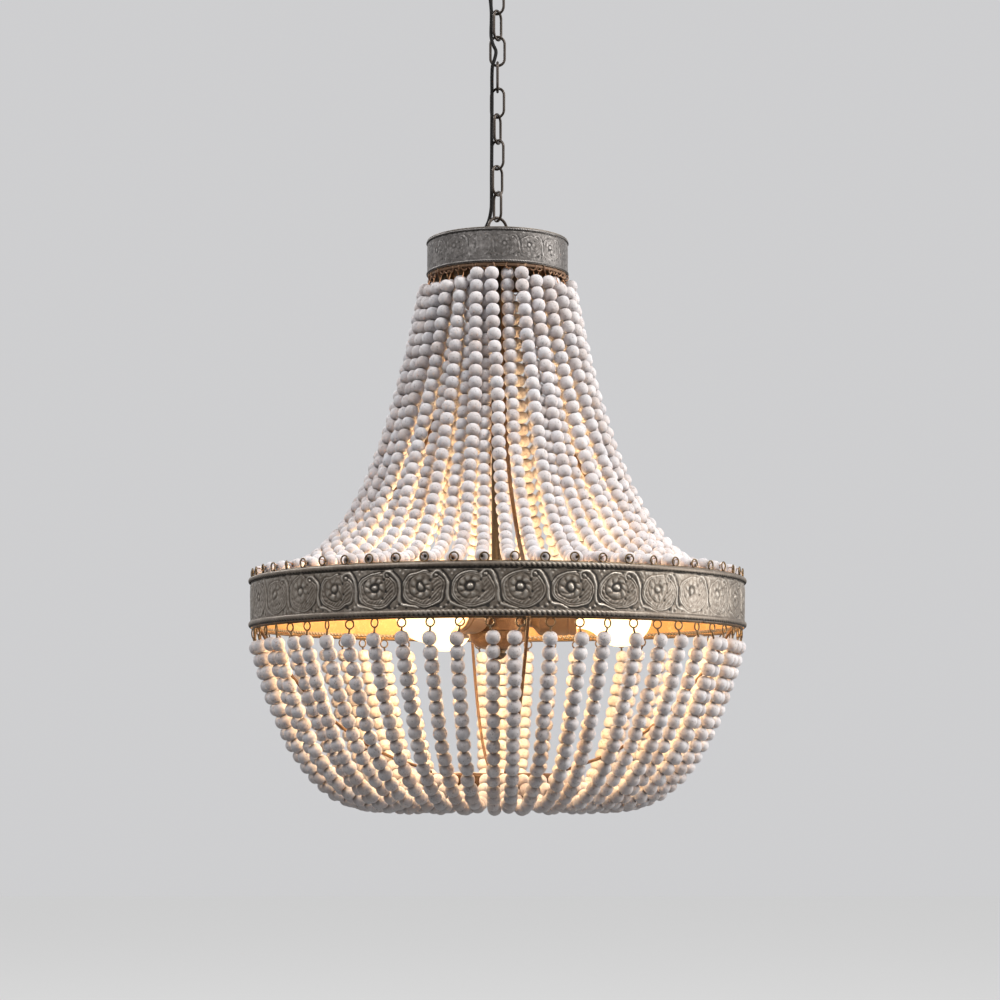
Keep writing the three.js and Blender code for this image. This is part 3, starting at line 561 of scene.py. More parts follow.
def addBackdrop():
    world = bpy.data.worlds.new("studio")
    world.use_nodes = True
    bpy.context.scene.world = world
    tree = world.node_tree
    tree.nodes.clear()
    light = addNode(tree, "ShaderNodeBackground", {"Color": rgb(1.0, 1.0, 1.0), "Strength": stageLook["skyLight"]})
    shown = addNode(tree, "ShaderNodeBackground", {"Color": rgb(*stageLook["backdrop"]), "Strength": 1.0})
    rays = addNode(tree, "ShaderNodeLightPath").outputs
    mirrored = mathNode(tree, "MAXIMUM", rays["Is Glossy Ray"], rays["Is Transmission Ray"])
    seen = mathNode(tree, "MAXIMUM", rays["Is Camera Ray"], mirrored)
    mix = addNode(tree, "ShaderNodeMixShader", {0: seen, 1: light.outputs[0], 2: shown.outputs[0]})
    tree.links.new(mix.outputs[0], addNode(tree, "ShaderNodeOutputWorld").inputs[0])


studioLights = {
    "keyLight": {"power": 131.0, "size": 1.2, "place": (2.3, -1.2, 2.0), "colour": (1.0, 0.985, 0.96)},
    "fillLight": {"power": 80.0, "size": 1.8, "place": (-2.0, -1.5, 2.1), "colour": (0.97, 0.98, 1.0)},
    "sideLight": {"power": 46.0, "size": 1.6, "place": (2.6, 0.1, -0.35), "colour": (1.0, 0.99, 0.97)},
    "backLight": {"power": 40.0, "size": 1.0, "place": (-2.0, 1.7, 1.6), "colour": (1.0, 1.0, 1.0)},
}
lightTarget = (0.0, 0.0, -0.6)


def addLights():
    for name, look in studioLights.items():
        light = addObject(name, bpy.data.lights.new(name, "AREA"))
        light.data.size = look["size"]
        light.data.energy = look["power"]
        light.data.color = look["colour"]
        light.location = look["place"]
        aim = Vector(lightTarget) - Vector(look["place"])
        light.rotation_euler = aim.to_track_quat("-Z", "Y").to_euler()


addCamera()
addFloor()
addBackdrop()
addLights()
bpy.context.scene.view_settings.view_transform = "Standard"
print("set the camera, lights and floor")

canopyLook = {
    "radius": 0.060, "height": 0.032, "wall": 0.0012, "flatRadius": 0.027, "bulge": 0.009, "bore": 0.0051,
    "lip": [(-0.0003, -0.0004), (0.0, -0.001)],  # out from the rim and up from the ceiling
    "steps": 24, "sides": 72,
}


def domeEdge(rim, flat, bottom):
    start, end = np.array([rim, 0.0]), np.array([flat, bottom])
    push = np.array([-bottom, flat - rim])
    control = (start + end) / 2 + push / np.linalg.norm(push) * 2 * canopyLook["bulge"]
    return curveBetween(start, control, end, np.linspace(0, 1, canopyLook["steps"] + 1)[:, None])


def buildCanopy():
    look = canopyLook
    radius, flat, bore, wall, bottom = look["radius"], look["flatRadius"], look["bore"], look["wall"], -look["height"]
    outer = domeEdge(radius, flat, bottom)[2:]  # the lip takes the place of its first two points
    inner = domeEdge(radius - wall, flat - wall, bottom + wall)[::-1]
    lip = [[radius + out, z] for out, z in look["lip"]]
    profile = np.concatenate([lip, outer, [[bore, bottom], [bore, bottom + wall]], inner])
    dome = turnedPart(profile, look["sides"])
    addPiece("canopy_dome", dome, "plainIron", "ceiling_canopy", "canopy", sharpAngle=50)
    paintNode("ceiling_crossbar", "plainIron")
    paintNode("canopy_lock_nut", "darkBronze")
    paintNode("canopy_bushing", "darkPlastic")
    paintNode("plate_bushing", "darkPlastic")


chain = {
    "top": -0.0689, "count": 9, "length": 0.0318, "width": 0.0170, "wire": 0.0027,
    "turns": [-30, 60, 0, 90, -25, 65, -35, 50, -60],  # in plan, from the X axis
    "bendSteps": 16, "sides": 14,
}
chainPitch = chain["length"] - 2 * chain["wire"] - gap
linkMiddles = [chain["top"] - chain["length"] / 2 - i * chainPitch for i in range(chain["count"])]


def ovalPart(length, width, wire, turnFromX, middle):
    bend, straight = (width - wire) / 2, (length - width) / 2
    angle, steps = math.radians(turnFromX), chain["bendSteps"]
    direction = np.array([math.cos(angle), math.sin(angle), 0.0])
    side = np.array([-math.sin(angle), math.cos(angle), 0.0])
    path = []
    for end, shift in ((0, straight), (1, -straight)):
        for i in range(steps + 1):
            turn = math.pi * (end + i / steps)
            path.append(direction * bend * math.cos(turn) + up * (middle + shift + bend * math.sin(turn)))
    return tubePart(path, wire / 2, chain["sides"], side, closed=True)


def buildChain():
    for i, middle in enumerate(linkMiddles):
        part = ovalPart(chain["length"], chain["width"], chain["wire"], chain["turns"][i], middle)
        addPiece(f"fine_link_{i + 1}", part, "darkBronze", f"chain_link_{i + 1}", f"chain_{i + 1}")


hangerLook = {
    "width": 0.024, "wire": 0.004, "turn": 60, "ringSink": 0.001, "baseTop": -0.0323, "baseHeight": 0.005,
    "studRadius": 0.00475, "studTop": -0.0014, "chamfer": 0.001, "threads": 22, "threadDepth": 0.0004,
    "threadEnd": 0.0008, "sides": 40,
    # the base, as radius and drop below its top
    "base": [(0.0, 0.006), (0.0042, 0.006), (0.00738, 0.005), (0.009, 0.0038), (0.009, 0.0006), (0.0084, 0.0)],
}


def buildHanger():
    # the loop that holds the first link, its base and its threaded stud
    look = hangerLook
    bottom = chain["top"] - chain["wire"] - gap - look["wire"]
    ringTop = look["baseTop"] - look["baseHeight"] + look["ringSink"]
    ring = ovalPart(ringTop - bottom, look["width"], look["wire"], look["turn"], (ringTop + bottom) / 2)
    base = [[radius, look["baseTop"] - drop] for radius, drop in look["base"]]
    heights = np.linspace(look["baseTop"], look["studTop"] - look["threadEnd"], look["threads"] * 2 + 1)
    thread = threadProfile(look["studRadius"], look["threadDepth"], heights)
    tip = [[look["studRadius"] - look["chamfer"], look["studTop"]], [0.0, look["studTop"]]]
    part = joinParts([ring, turnedPart(base + thread + tip, look["sides"], close=False)])
    addPiece("fine_hanging_loop", part, "darkBronze", "hanging_loop", "canopy", sharpAngle=40)


crownLook = {
    "width": 0.024, "wire": 0.003, "turn": 30, "sides": 36,
    # the base and the nipple, as radius and drop below the base's top
    "base": [
        (0.0, -0.0006), (0.0045, -0.0004), (0.0062, 0.0008), (0.0066, 0.0022), (0.0078, 0.0028), (0.008, 0.0036),
        (0.008, 0.0054), (0.0075, 0.006), (0.0045, 0.006), (0.0045, 0.023), (0.0, 0.023),
    ],
}


def buildCrown():
    # the loop on top of the lamp, its base and nipple
    look = crownLook
    ringTop = linkMiddles[-1] - chain["length"] / 2 + chain["wire"] + gap + look["wire"]
    ring = ovalPart(look["width"], look["width"], look["wire"], look["turn"], ringTop - look["width"] / 2)
    baseTop = ringTop - look["width"] + look["wire"] / 2
    base = turnedPart([[radius, baseTop - drop] for radius, drop in look["base"]], look["sides"], close=False)
    addPiece("fine_crown_loop", joinParts([ring, base]), "darkBronze", "crown_loop", sharpAngle=40)


buildCanopy()
buildChain()
buildHanger()
buildCrown()
print("made the ceiling parts and the chain")

# The cord's route repeats the one in the part's source, in metres
cordRoute = [
    (-0.0167, -0.0029, -0.022), (-0.0167, -0.0029, -0.033), (-0.0164, -0.0028, -0.044), (-0.0134, -0.0024, -0.058),
    (-0.0096, -0.0018, -0.072), (-0.0072, -0.0015, -0.086), (-0.0062, -0.0018, -0.098), (-0.0063, -0.0020, -0.110),
    (-0.0065, -0.0029, -0.118), (-0.0062, -0.0039, -0.125), (-0.0043, -0.0047, -0.132), (-0.0016, -0.0048, -0.138),
    (-0.0026, -0.0048, -0.145), (-0.0049, -0.0041, -0.152), (-0.0056, -0.0030, -0.162), (-0.0056, -0.0023, -0.178),
    (-0.0056, -0.0019, -0.192), (-0.0057, -0.0017, -0.206), (-0.0058, -0.0015, -0.220), (-0.0058, -0.0013, -0.234),
    (-0.0059, -0.0010, -0.250), (-0.0060, -0.0008, -0.266), (-0.0060, -0.0006, -0.282), (-0.0064, 0.0000, -0.296),
    (-0.0086, 0.0007, -0.307), (-0.0128, 0.0010, -0.317), (-0.0158, 0.0013, -0.326), (-0.0162, 0.0014, -0.333),
    (-0.0160, 0.0014, -0.339), (-0.0149, 0.0013, -0.345), (-0.0114, 0.0010, -0.352), (-0.0064, 0.0006, -0.359),
    (-0.0019, 0.0002, -0.367), (0.0, 0.0, -0.378), (0.0, 0.0, -0.420), (0.0, 0.0, -0.500), (0.0, 0.0, -0.600),
    (0.0, 0.0, -0.700),
]
cordLook = {"radius": 0.0018, "step": 0.0025, "sides": 14}


def smoothRoute(points, step):
    # centripetal curve through the points, sampled at even steps
    def between(t, start, end, first, second):
        return (end - t) / (end - start) * first + (t - start) / (end - start) * second

    points = np.asarray(points, float)
    padded = np.concatenate([[2 * points[0] - points[1]], points, [2 * points[-1] - points[-2]]])
    dense = []
    for i in range(len(points) - 1):
        near = padded[i:i + 4]
        k = np.cumsum([0] + [np.linalg.norm(b - a) ** 0.5 for a, b in zip(near[:-1], near[1:])])
        t = np.linspace(k[1], k[2], 40, endpoint=False)[:, None]
        lines = [between(t, k[j], k[j + 1], near[j], near[j + 1]) for j in range(3)]
        bows = [between(t, k[j], k[j + 2], lines[j], lines[j + 1]) for j in range(2)]
        dense.append(between(t, k[1], k[2], *bows))
    dense = np.concatenate(dense + [points[-1:]])
    lengths = np.concatenate([[0], np.cumsum(np.linalg.norm(np.diff(dense, axis=0), axis=1))])
    at = np.linspace(0, lengths[-1], int(round(lengths[-1] / step)) + 1)
    return np.stack([np.interp(at, lengths, dense[:, i]) for i in range(3)], axis=1)


def buildCord():
    # the cord is cut at the middle of each link, so that each piece spans two bodies; the first piece goes with the
    # canopy, the last with the lamp, and the others stay free of any body
    path, sides = smoothRoute(cordRoute, cordLook["step"]), cordLook["sides"]
    firstPivot = chain["top"] - chain["wire"] - gap - hangerLook["wire"] / 2
    cuts = [firstPivot + chain["length"] / 2] + linkMiddles + [linkMiddles[-1] - chain["length"]]
    points, _ = tubePart(path, cordLook["radius"], sides, capped=False)
    rings = points.reshape(len(path), sides, 3)
    marks = [0] + [int(np.argmin(abs(path[:, 2] - z))) for z in cuts] + [len(path) - 1]
    last = len(marks) - 2
    for i in range(last + 1):
        ringSet = rings[marks[i]:marks[i + 1] + 1]
        faces = [gridFaces(len(ringSet), sides)]
        if i in (0, last):
            faces.append(endCap(len(ringSet), sides, i == last))
        piece = makeMesh(f"cord_{i + 1}", (ringSet.reshape(-1, 3), faces), "cord")
        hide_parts("power_cord")
        if i in (0, last):
            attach(piece, "chandelier" if i else "canopy")
        else:
            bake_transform(piece)


buildCord()
print("made the cord")

# Relief of the two sheet bands, in millimetres to the right of and above the boss of a roundel

millimetres = 1000
ornament = {
    "stray": 0.7, "ground": 0.12, "raised": 0.48, "edge": 36, "farTurn": 35,
    "ringMiddle": (2.4, -2.4), "ringWide": 20.8, "ringTall": 16.4,
    # place as a share of the ring's reach, width, height, share all round, share on the far side
    "rings": [
        (0.965, 0.035, 0.42, 1.0, 0.0), (1.045, 0.035, -0.85, 1.0, 0.0), (0.86, 0.03, 0.35, 0.3, 0.7),
        (0.91, 0.025, -0.5, 1.0, 0.0), (0.80, 0.03, -0.45, 0.0, 1.0),
    ],
    "petals": 7, "petalTwist": 0.22, "petalAt": 7.4, "petalLine": (2.0, 0.42), "petalGap": (2.4, 0.5),
    "petalFrom": 7, "petalPower": 0.7, "gapPower": 3,
    "arcAt": 11.3, "arcLine": (0.75, 0.7), "arcShares": (0.4, 0.6),
    "leafEdge": (0.82, 40), "leafStart": (1.0, 3), "curlReach": 4.2, "lowRight": (40, 0.25, 7),
    "veinPitch": 2.9, "veinStray": 1.2, "veinHeight": 0.27,
    "leaves": 17, "leafTwist": 0.8, "leafStray": 1.5, "leafHeight": 0.24,
    "moatAt": 3.9, "moatLine": (1.35, 1.3), "bossLine": (2.1, 1.25),
    "scroll": [
        (10.2, 8.0), (9.9, 11.4), (12.1, 13.7), (15.5, 14.2), (18.5, 13.3), (21.7, 9.3), (24.1, 3.6), (25.5, -2.0),
        (25.3, -8.4), (26.5, -13.3), (29.8, -16.1), (33.8, -17.2), (38.6, -18.6), (43.0, -20.1),
    ],
    "scrollClearing": (1.7, 1.0), "scrollLine": (1.0, 1.05),
    "shade": [(20.3, 14.8), (23.6, 11.9), (26.3, 6.8), (27.6, 1.2), (27.6, -3.8), (27.9, -8.0), (30.0, -13.4)],
    "shadeLine": (1.1, 1.3),
    "curl": (13.6, 10.7), "curlLine": (1.3, 1.2), "curlMoatAt": 2.5, "curlMoat": (0.8, 0.7),
    "spots": [
        (16.0, -17.4, 1.8), (21.8, -18.6, 1.2), (7.2, 13.4, 1.2), (9.9, 5.6, 1.0), (11.9, -3.4, 1.0), (9.0, -9.8, 1.1),
        (31.4, -19.4, 0.9), (-19.6, -14.6, 1.3),
    ],
    "spotDepth": 1.3,
    "grains": [(29.6, 11.8), (26.9, 15.2), (32.2, 15.0), (24.2, -16.9), (19.0, -19.2)], "grainLine": (1.1, 0.7),
}


def distanceToLine(u, v, line):
    best = np.full(u.shape, 1e9)
    for (ax, ay), (bx, by) in zip(line[:-1], line[1:]):
        dx, dy = bx - ax, by - ay
        share = np.clip(((u - ax) * dx + (v - ay) * dy) / (dx * dx + dy * dy), 0, 1)
        best = np.minimum(best, np.hypot(u - ax - share * dx, v - ay - share * dy))
    return best


def smoothLine(line, steps):
    flat = [(x, y, 0.0) for x, y in line]
    total = sum(math.dist(a, b) for a, b in zip(flat[:-1], flat[1:]))
    return [(x, y) for x, y, _ in smoothRoute(flat, total / (len(line) * steps))]


def ridge(distance, width, height):
    return height * np.exp(-((distance / width) ** 2))


def softStep(value):
    # from 1 well below zero to 0 well above it
    return 1 / (1 + np.exp(value))


def ornamentHeight(u, v, cell, strayU, strayV):
    o = ornament
    u, v = u + o["stray"] * strayU, v + o["stray"] * strayV
    radius, angle = np.hypot(u, v), np.arctan2(v, u)
    flat = np.hypot((u - o["ringMiddle"][0]) / o["ringWide"], (v - o["ringMiddle"][1]) / o["ringTall"])
    inside = softStep((flat - 1.0) * o["edge"])
    farSide = 0.5 - 0.5 * np.cos(angle - math.radians(o["farTurn"]))
    height = o["ground"] + o["raised"] * inside
    for at, width, tall, allRound, onFarSide in o["rings"]:
        height += ridge(flat - at, width, tall) * (allRound + onFarSide * farSide)
    # petals and the arc round them
    petal = 0.5 + 0.5 * np.cos(o["petals"] * angle + o["petalTwist"] * (radius - o["petalFrom"]) + strayU)
    height += ridge(radius - o["petalAt"], *o["petalLine"]) * petal ** o["petalPower"]
    height -= ridge(radius - o["petalAt"], *o["petalGap"]) * (1 - petal) ** o["gapPower"]
    height -= ridge(radius - o["arcAt"], *o["arcLine"]) * (o["arcShares"][0] + o["arcShares"][1] * farSide)
    # leaves between the arc and the ring, veined at the lower right
    curlAway = np.hypot(u - o["curl"][0], v - o["curl"][1])
    leafField = inside * (1 - ridge(curlAway, o["curlReach"], 1.0))
    leafField *= softStep((flat - o["leafEdge"][0]) * o["leafEdge"][1])
    leafField *= softStep(-(radius - o["arcAt"] - o["leafStart"][0]) * o["leafStart"][1])
    lowTurn, lowMiddle, lowSoftness = o["lowRight"]
    lowRight = softStep(-(np.cos(angle + math.radians(lowTurn)) - lowMiddle) * lowSoftness)
    vein = np.cos(2 * np.pi * (u - v + o["veinStray"] * strayV) / math.sqrt(2) / o["veinPitch"])
    leaf = np.cos(o["leaves"] * angle + radius * o["leafTwist"] + strayV * o["leafStray"])
    height += leafField * (o["veinHeight"] * vein * lowRight + o["leafHeight"] * leaf * (1 - lowRight))
    height -= ridge(radius - o["moatAt"], *o["moatLine"])
    height += ridge(radius, *o["bossLine"])
    # the scroll that runs on from roundel to roundel, with its shade, curl, spots and grains
    shifts = (-cell, 0, cell)
    line, shade = smoothLine(o["scroll"], 4), smoothLine(o["shade"], 3)
    away = np.min([distanceToLine(u - shift, v, line) for shift in shifts], axis=0)
    height = height * (1 - ridge(away, *o["scrollClearing"])) + ridge(away, *o["scrollLine"])
    for shift in shifts:
        height -= ridge(distanceToLine(u - shift, v, shade), *o["shadeLine"])
        curlAway = np.hypot(u - shift - o["curl"][0], v - o["curl"][1])
        height += ridge(curlAway, *o["curlLine"])
        height -= ridge(curlAway - o["curlMoatAt"], *o["curlMoat"])
        for x, y, size in o["spots"]:
            height -= ridge(np.hypot(u - shift - x, v - y), size, o["spotDepth"])
        for x, y in o["grains"]:
            height += ridge(np.hypot(u - shift - x, v - y), *o["grainLine"])
    return height


bandLook = {
    "name": "band", "node": "main_band", "metal": "agedIron", "inner": "innerRustAndPaintedGlow",
    "radius": 0.248, "wall": 0.0012, "top": -0.6707, "height": 0.0495,
    "roundels": 34, "firstTurn": -5.7, "scale": 1.0, "columnsPerCell": 88, "rows": 88,
    "bossDrop": 0.0227, "patternTop": 0.0065, "patternLow": 0.0430, "deepest": 0.0005, "relief": 0.0017,
    "grain": 0.10, "wearAndSheenLift": 0.18, "shadowLineDrop": 0.0058, "shadowLineWide": 0.0006,
    "ropeDeep": 0.0019, "topRope": (0.0027, 0.0026), "bottomRope": (0.0461, 0.0029), "ropePitch": 0.0047,
}
collarLook = {
    "name": "collar", "node": "collar_band", "metal": "collarIron", "inner": "plainIron",
    "radius": 0.071, "wall": 0.001, "top": -0.3293, "height": 0.0347,
    "roundels": 17, "firstTurn": 5.0, "scale": 0.62, "columnsPerCell": 64, "rows": 64,
    "bossDrop": 0.0163, "patternTop": 0.0040, "patternLow": 0.0300, "deepest": 0.0003, "relief": 0.0006,
    "grain": 0.18, "wearAndSheenLift": 0.03, "shadowLineDrop": 0.0038, "shadowLineWide": 0.0004,
    "ropeDeep": 0.0007, "topRope": (0.0022, 0.0010), "bottomRope": (0.0331, 0.0011), "ropePitch": 0.0026,
}
sheetLook = {
    "edgeSoftness": 3000, "plain": 0.1, "wornLevel": 0.4, "wornShares": (0.85, 0.15),
    "breakShares": (0.75, 0.5), "shadowLineDepth": 1.4, "shadowLineShares": (0.45, 0.55), "grainShares": (0.6, 0.7),
    "tone": 0.49, "toneGain": 0.8, "toneReach": 7, "fullHeight": 1.7,
    "skinGap": 0.0001, "corner": 0.0003, "cornerSteps": 2, "sides": 240,
    # step and seed of each layer of noise
    "noise": {"u": (16, 21), "v": (16, 22), "worn": (30, 23), "fine": (3, 24), "coarse": (7, 25), "breaks": (11, 26)},
}


def eased(share):
    return share * share * (3 - 2 * share)


def gridNoise(rows, columns, step, seed):
    # smooth random values over a grid that joins up with itself round the band
    across, tall = max(columns // step, 2), rows // step + 3
    values = np.random.default_rng(seed).normal(0, 1, (tall, across))
    x, y = np.arange(columns) / columns * across, np.arange(rows) / step
    x0, y0 = x.astype(int), y.astype(int)
    fx, fy = eased(x - x0), eased((y - y0)[:, None])
    low, high = [values[row][:, x0] * (1 - fx) + values[row][:, (x0 + 1) % across] * fx for row in (y0, y0 + 1)]
    return low * (1 - fy) + high * fy


def blurred(grid, reach):
    # mean over a square round each point
    wide = np.concatenate([grid[:, -reach:], grid, grid[:, :reach]], axis=1)
    wide = np.pad(wide, ((reach, reach), (0, 0)), mode="edge")
    size = 2 * reach + 1
    sums = np.pad(np.cumsum(np.cumsum(wide, 0), 1), ((1, 0), (1, 0)))
    return (sums[size:, size:] - sums[:-size, size:] - sums[size:, :-size] + sums[:-size, :-size]) / size ** 2


# How much of the ornament still stands round the bands: middle, reach and softness of the clear stretch in
# front and of the one behind, which a slow random curve breaks up. The collar has the curve alone
clearLooks = {
    "band": {"least": 0.34, "front": (-5, 37, 6), "behind": (180, 100, 10), "seed": 3, "waves": 14, "share": 0.9},
    "top": {"least": 0.12, "front": (14, 13, 2.0), "behind": (180, 110, 10), "seed": 5, "waves": 11, "share": 1.0},
    "bottom": {"least": 0.15, "front": (4, 19, 2.5), "behind": (180, 110, 10), "seed": 6, "waves": 9, "share": 1.0},
    "collar": {"least": 0.22, "seed": 8, "waves": 12, "share": 0.38},
}


def hill(turns, middle, reach, softness):
    # 1 within reach of a direction and 0 away from it
    return softStep((abs((turns - middle + 180) % 360 - 180) - reach) / softness)


def clearness(name, turns):
    look = clearLooks[name]
    values = np.random.default_rng(look["seed"]).random(look["waves"])
    at = (turns % 360) / 360 * look["waves"]
    low = np.floor(at).astype(int)
    share = eased(at - low)
    curve = values[low % look["waves"]] * (1 - share) + values[(low + 1) % look["waves"]] * share
    if "front" not in look:
        return look["least"] + look["share"] * curve
    clear = np.maximum(hill(turns, *look["front"]), hill(turns, *look["behind"]) * curve * look["share"])
    return look["least"] + (1 - look["least"]) * clear


def reliefBand(look):
    # the outer face with its ornament, and how light each of its points looks: darker in hollows and lighter on
    # ridges, partly patina and wear, partly painted shade and painted highlight
    sheet, rows, columns = sheetLook, look["rows"], look["roundels"] * look["columnsPerCell"]
    cellWidth = 2 * math.pi * look["radius"] * millimetres / look["roundels"] / look["scale"]
    drop = np.linspace(0, look["height"], rows)
    turns = look["firstTurn"] + np.arange(columns) * 360 / columns
    u = ((np.arange(columns) / look["columnsPerCell"] + 0.5) % 1 - 0.5) * cellWidth
    v = (look["bossDrop"] - drop) * millimetres / look["scale"]
    noise = {name: gridNoise(rows, columns, *values) for name, values in sheet["noise"].items()}
    height = ornamentHeight(*np.meshgrid(u, v), cellWidth, noise["u"], noise["v"])
    within = softStep((look["patternTop"] - drop) * sheet["edgeSoftness"])
    within = (within * softStep((drop - look["patternLow"]) * sheet["edgeSoftness"]))[:, None]
    height = height * within + sheet["plain"] * (1 - within)
    worn = clearness(look["name"], turns)[None, :] * (sheet["wornShares"][0] + sheet["wornShares"][1] * noise["worn"])
    height = height * worn + sheet["wornLevel"] * (1 - worn)
    # painted shadow: a dark groove line just under the top rope, broken here and there
    breaks = np.clip(sheet["breakShares"][0] + sheet["breakShares"][1] * noise["breaks"], 0, 1)
    line = ridge(drop - look["shadowLineDrop"], look["shadowLineWide"], sheet["shadowLineDepth"])[:, None]
    height -= line * breaks * (sheet["shadowLineShares"][0] + sheet["shadowLineShares"][1] * worn)
    height += look["grain"] * (noise["fine"] * sheet["grainShares"][0] + noise["coarse"] * sheet["grainShares"][1])
    # the tone follows each point's height against its surroundings: painted shade in hollows and painted highlight on
    # ridges, partly also patina and wear
    ridges = height - blurred(height, sheet["toneReach"])
    # paler where the ornament is worn low, mostly away from the front: partly wear, partly painted sheen on the band's
    # sides
    shade = np.clip(sheet["tone"] + look["wearAndSheenLift"] * (1 - worn) + sheet["toneGain"] * ridges, 0, 1)
    angle, z = np.radians(turns - 90), look["top"] - drop
    radius = look["radius"] - look["deepest"] + np.clip(height / sheet["fullHeight"], 0, 1) * look["relief"]
    z = np.broadcast_to(z[:, None], radius.shape)
    return np.stack([radius * np.cos(angle), radius * np.sin(angle), z], axis=2), shade


def sheetBand(look):
    # the outer face with its ornament, closed over the edges with the plain inner face
    outer, shade = reliefBand(look)
    name, node = f"{look['name']}_relief", look["node"]
    outerPart = (outer.reshape(-1, 3), [gridFaces(*shade.shape)[:, ::-1]])
    addPiece(name, outerPart, look["metal"], node, values={"relief": shade.ravel()})
    wallRadius, skin = look["radius"] - look["wall"], look["radius"] - look["deepest"] - sheetLook["skinGap"]
    top, bottom = look["top"], look["top"] - look["height"]
    section = [[skin, top], [wallRadius, top], [wallRadius, bottom], [skin, bottom]]
    inside = turnedPart(softCorners(section, sheetLook["corner"], sheetLook["cornerSteps"]), sheetLook["sides"])
    addPiece(f"{name}_inside", inside, look["inner"], node, sharpAngle=50)


ropeLook = {
    "out": 0.0001, "stepsPerStroke": 10, "sides": 16, "cut": 0.36, "cutPower": 0.7, "wornSink": 0.05,
    "shadedLowSide": (0.7, 0.15, 1.3), "under": (0.5, 0.9), "tone": 0.5, "pale": 0.3, "dark": 0.95, "darkPower": 1.2,
}


def ropePart(look, place):
    # a twisted rope laid round the band, worn smooth in places. Its tone is painted shade in the gaps between strands
    # and on its lower side, darkest underneath; the strand crowns are lighter, partly wear and partly painted
    # highlight
    rope, (drop, tall) = ropeLook, look[f"{place}Rope"]
    radius = look["radius"] + rope["out"]
    strokes = int(round(2 * math.pi * radius / look["ropePitch"]))
    steps, sides = strokes * rope["stepsPerStroke"], rope["sides"]
    turn, around = np.arange(steps) / steps * 2 * np.pi, np.arange(sides) / sides * 2 * np.pi
    phase = around[None, :] + np.pi * strokes * np.arange(steps)[:, None] / steps
    worn = clearness(place, np.degrees(turn) + 90)[:, None]
    strand = abs(np.cos(phase))
    reach = 1 - rope["cut"] * (1 - strand ** rope["cutPower"]) * worn - rope["wornSink"] * (1 - worn)
    ringRadius = radius + look["ropeDeep"] * reach * np.cos(around)[None, :]
    height = look["top"] - drop + tall * reach * np.sin(around)[None, :]
    points = np.stack([ringRadius * np.cos(turn)[:, None], ringRadius * np.sin(turn)[:, None], height], axis=2)
    # painted shade: darker towards the rope's lower side, and most underneath it
    middle, least, most = rope["shadedLowSide"]
    shadedLowSide = np.clip(middle - middle * np.sin(around), least, most)[None, :]
    underStart, underShade = rope["under"]
    under = np.clip(-np.sin(around) - underStart, 0, 1)[None, :] * underShade
    tone = rope["pale"] - rope["dark"] * (1 - strand ** rope["darkPower"]) * shadedLowSide
    relief = np.clip(rope["tone"] + tone * worn - under, 0, 1)
    return (points.reshape(-1, 3), [gridFaces(steps, sides, closeRows=True)[:, ::-1]]), {"relief": relief.ravel()}


rimLook = {"sides": 12, "steps": 240}


def rimPart(radius, z, size):
    turn = aroundSteps(rimLook["sides"])
    return turnedPart(np.stack([radius + size * np.cos(turn), z + size * np.sin(turn)], axis=1), rimLook["steps"])


def buildBand(look):
    name, node = look["name"], look["node"]
    sheetBand(look)
    for place in ("top", "bottom"):
        part, values = ropePart(look, place)
        addPiece(f"{name}_rope_{place}", part, look["metal"], node, values=values)
    edge = look["wall"] / 2
    rims = [rimPart(look["radius"] - edge, z, edge) for z in (look["top"] - edge, look["top"] - look["height"] + edge)]
    addPiece(f"{name}_rims", joinParts(rims), "plainIron", node)


buildBand(bandLook)
buildBand(collarLook)
print("made the bands")

strings = {
    "count": 56, "perSector": 7, "sectors": 8, "curveSteps": 240,
    "upperTurn": -2.7, "lowerTurn": -1.48, "sectorTurn": 6.8,
    "outerTop": (0.0724, -0.3703), "innerTop": (0.0612, -0.3703), "upperEnd": (0.2403, -0.6657),
    "outerLength": 0.366, "innerLength": 0.371, "upperPitch": 0.0128,
    "lowerStart": (0.2442, -0.7327), "lowEnd": (0.0796, -0.8835), "highEnd": (0.0796, -0.8695),
    "lowLength": 0.263, "highLength": 0.270, "lowerPitch": 0.0133,
    "lowerFirst": 0.0072, "lowerFirstStray": 0.0006, "lowerLast": 0.003,
    "wire": 0.00045, "wireStep": 0.004, "wireSides": 6, "endShare": 0.6,
    "linkWire": 0.0010, "linkSides": 8,
}
stringStep = 360 / strings["count"]
sectorWidth = 360 / strings["sectors"]


def hangingCurve(start, end, length):
    # points at equal steps along a chain of the given length hung between two points of a plane
    span, rise = abs(end[0] - start[0]), end[1] - start[1]
    spare = math.sqrt(length ** 2 - rise ** 2)
    low, high = span / 100, span * 100
    for _ in range(80):
        middle = (low + high) / 2
        if 2 * middle * math.sinh(span / (2 * middle)) > spare:
            low = middle
        else:
            high = middle
    scale = (low + high) / 2
    lowest = span / 2 - scale * math.atanh(rise / length)
    at = np.arcsinh(np.sinh(-lowest / scale) + np.linspace(0, length, strings["curveSteps"]) / scale)
    radius = start[0] + math.copysign(1, end[0] - start[0]) * (lowest + scale * at)
    return np.stack([radius, start[1] + scale * (np.cosh(at) - math.cosh(lowest / scale))], axis=1)


beadShape = {
    "radius": 0.0069, "hole": 0.0013, "holeEnd": 0.86, "endAngle": 0.19, "sides": 18, "rings": 10, "roundness": 2.25,
    # spread of a bead's place and tilt, then mean and spread of its size and tint
    "fill": 0.985, "offset": 0.00025, "tilt": 0.035,
    "size": (0.99, 0.02), "sizeLimits": (0.93, 1.02), "tint": (0.42, 0.34),
}


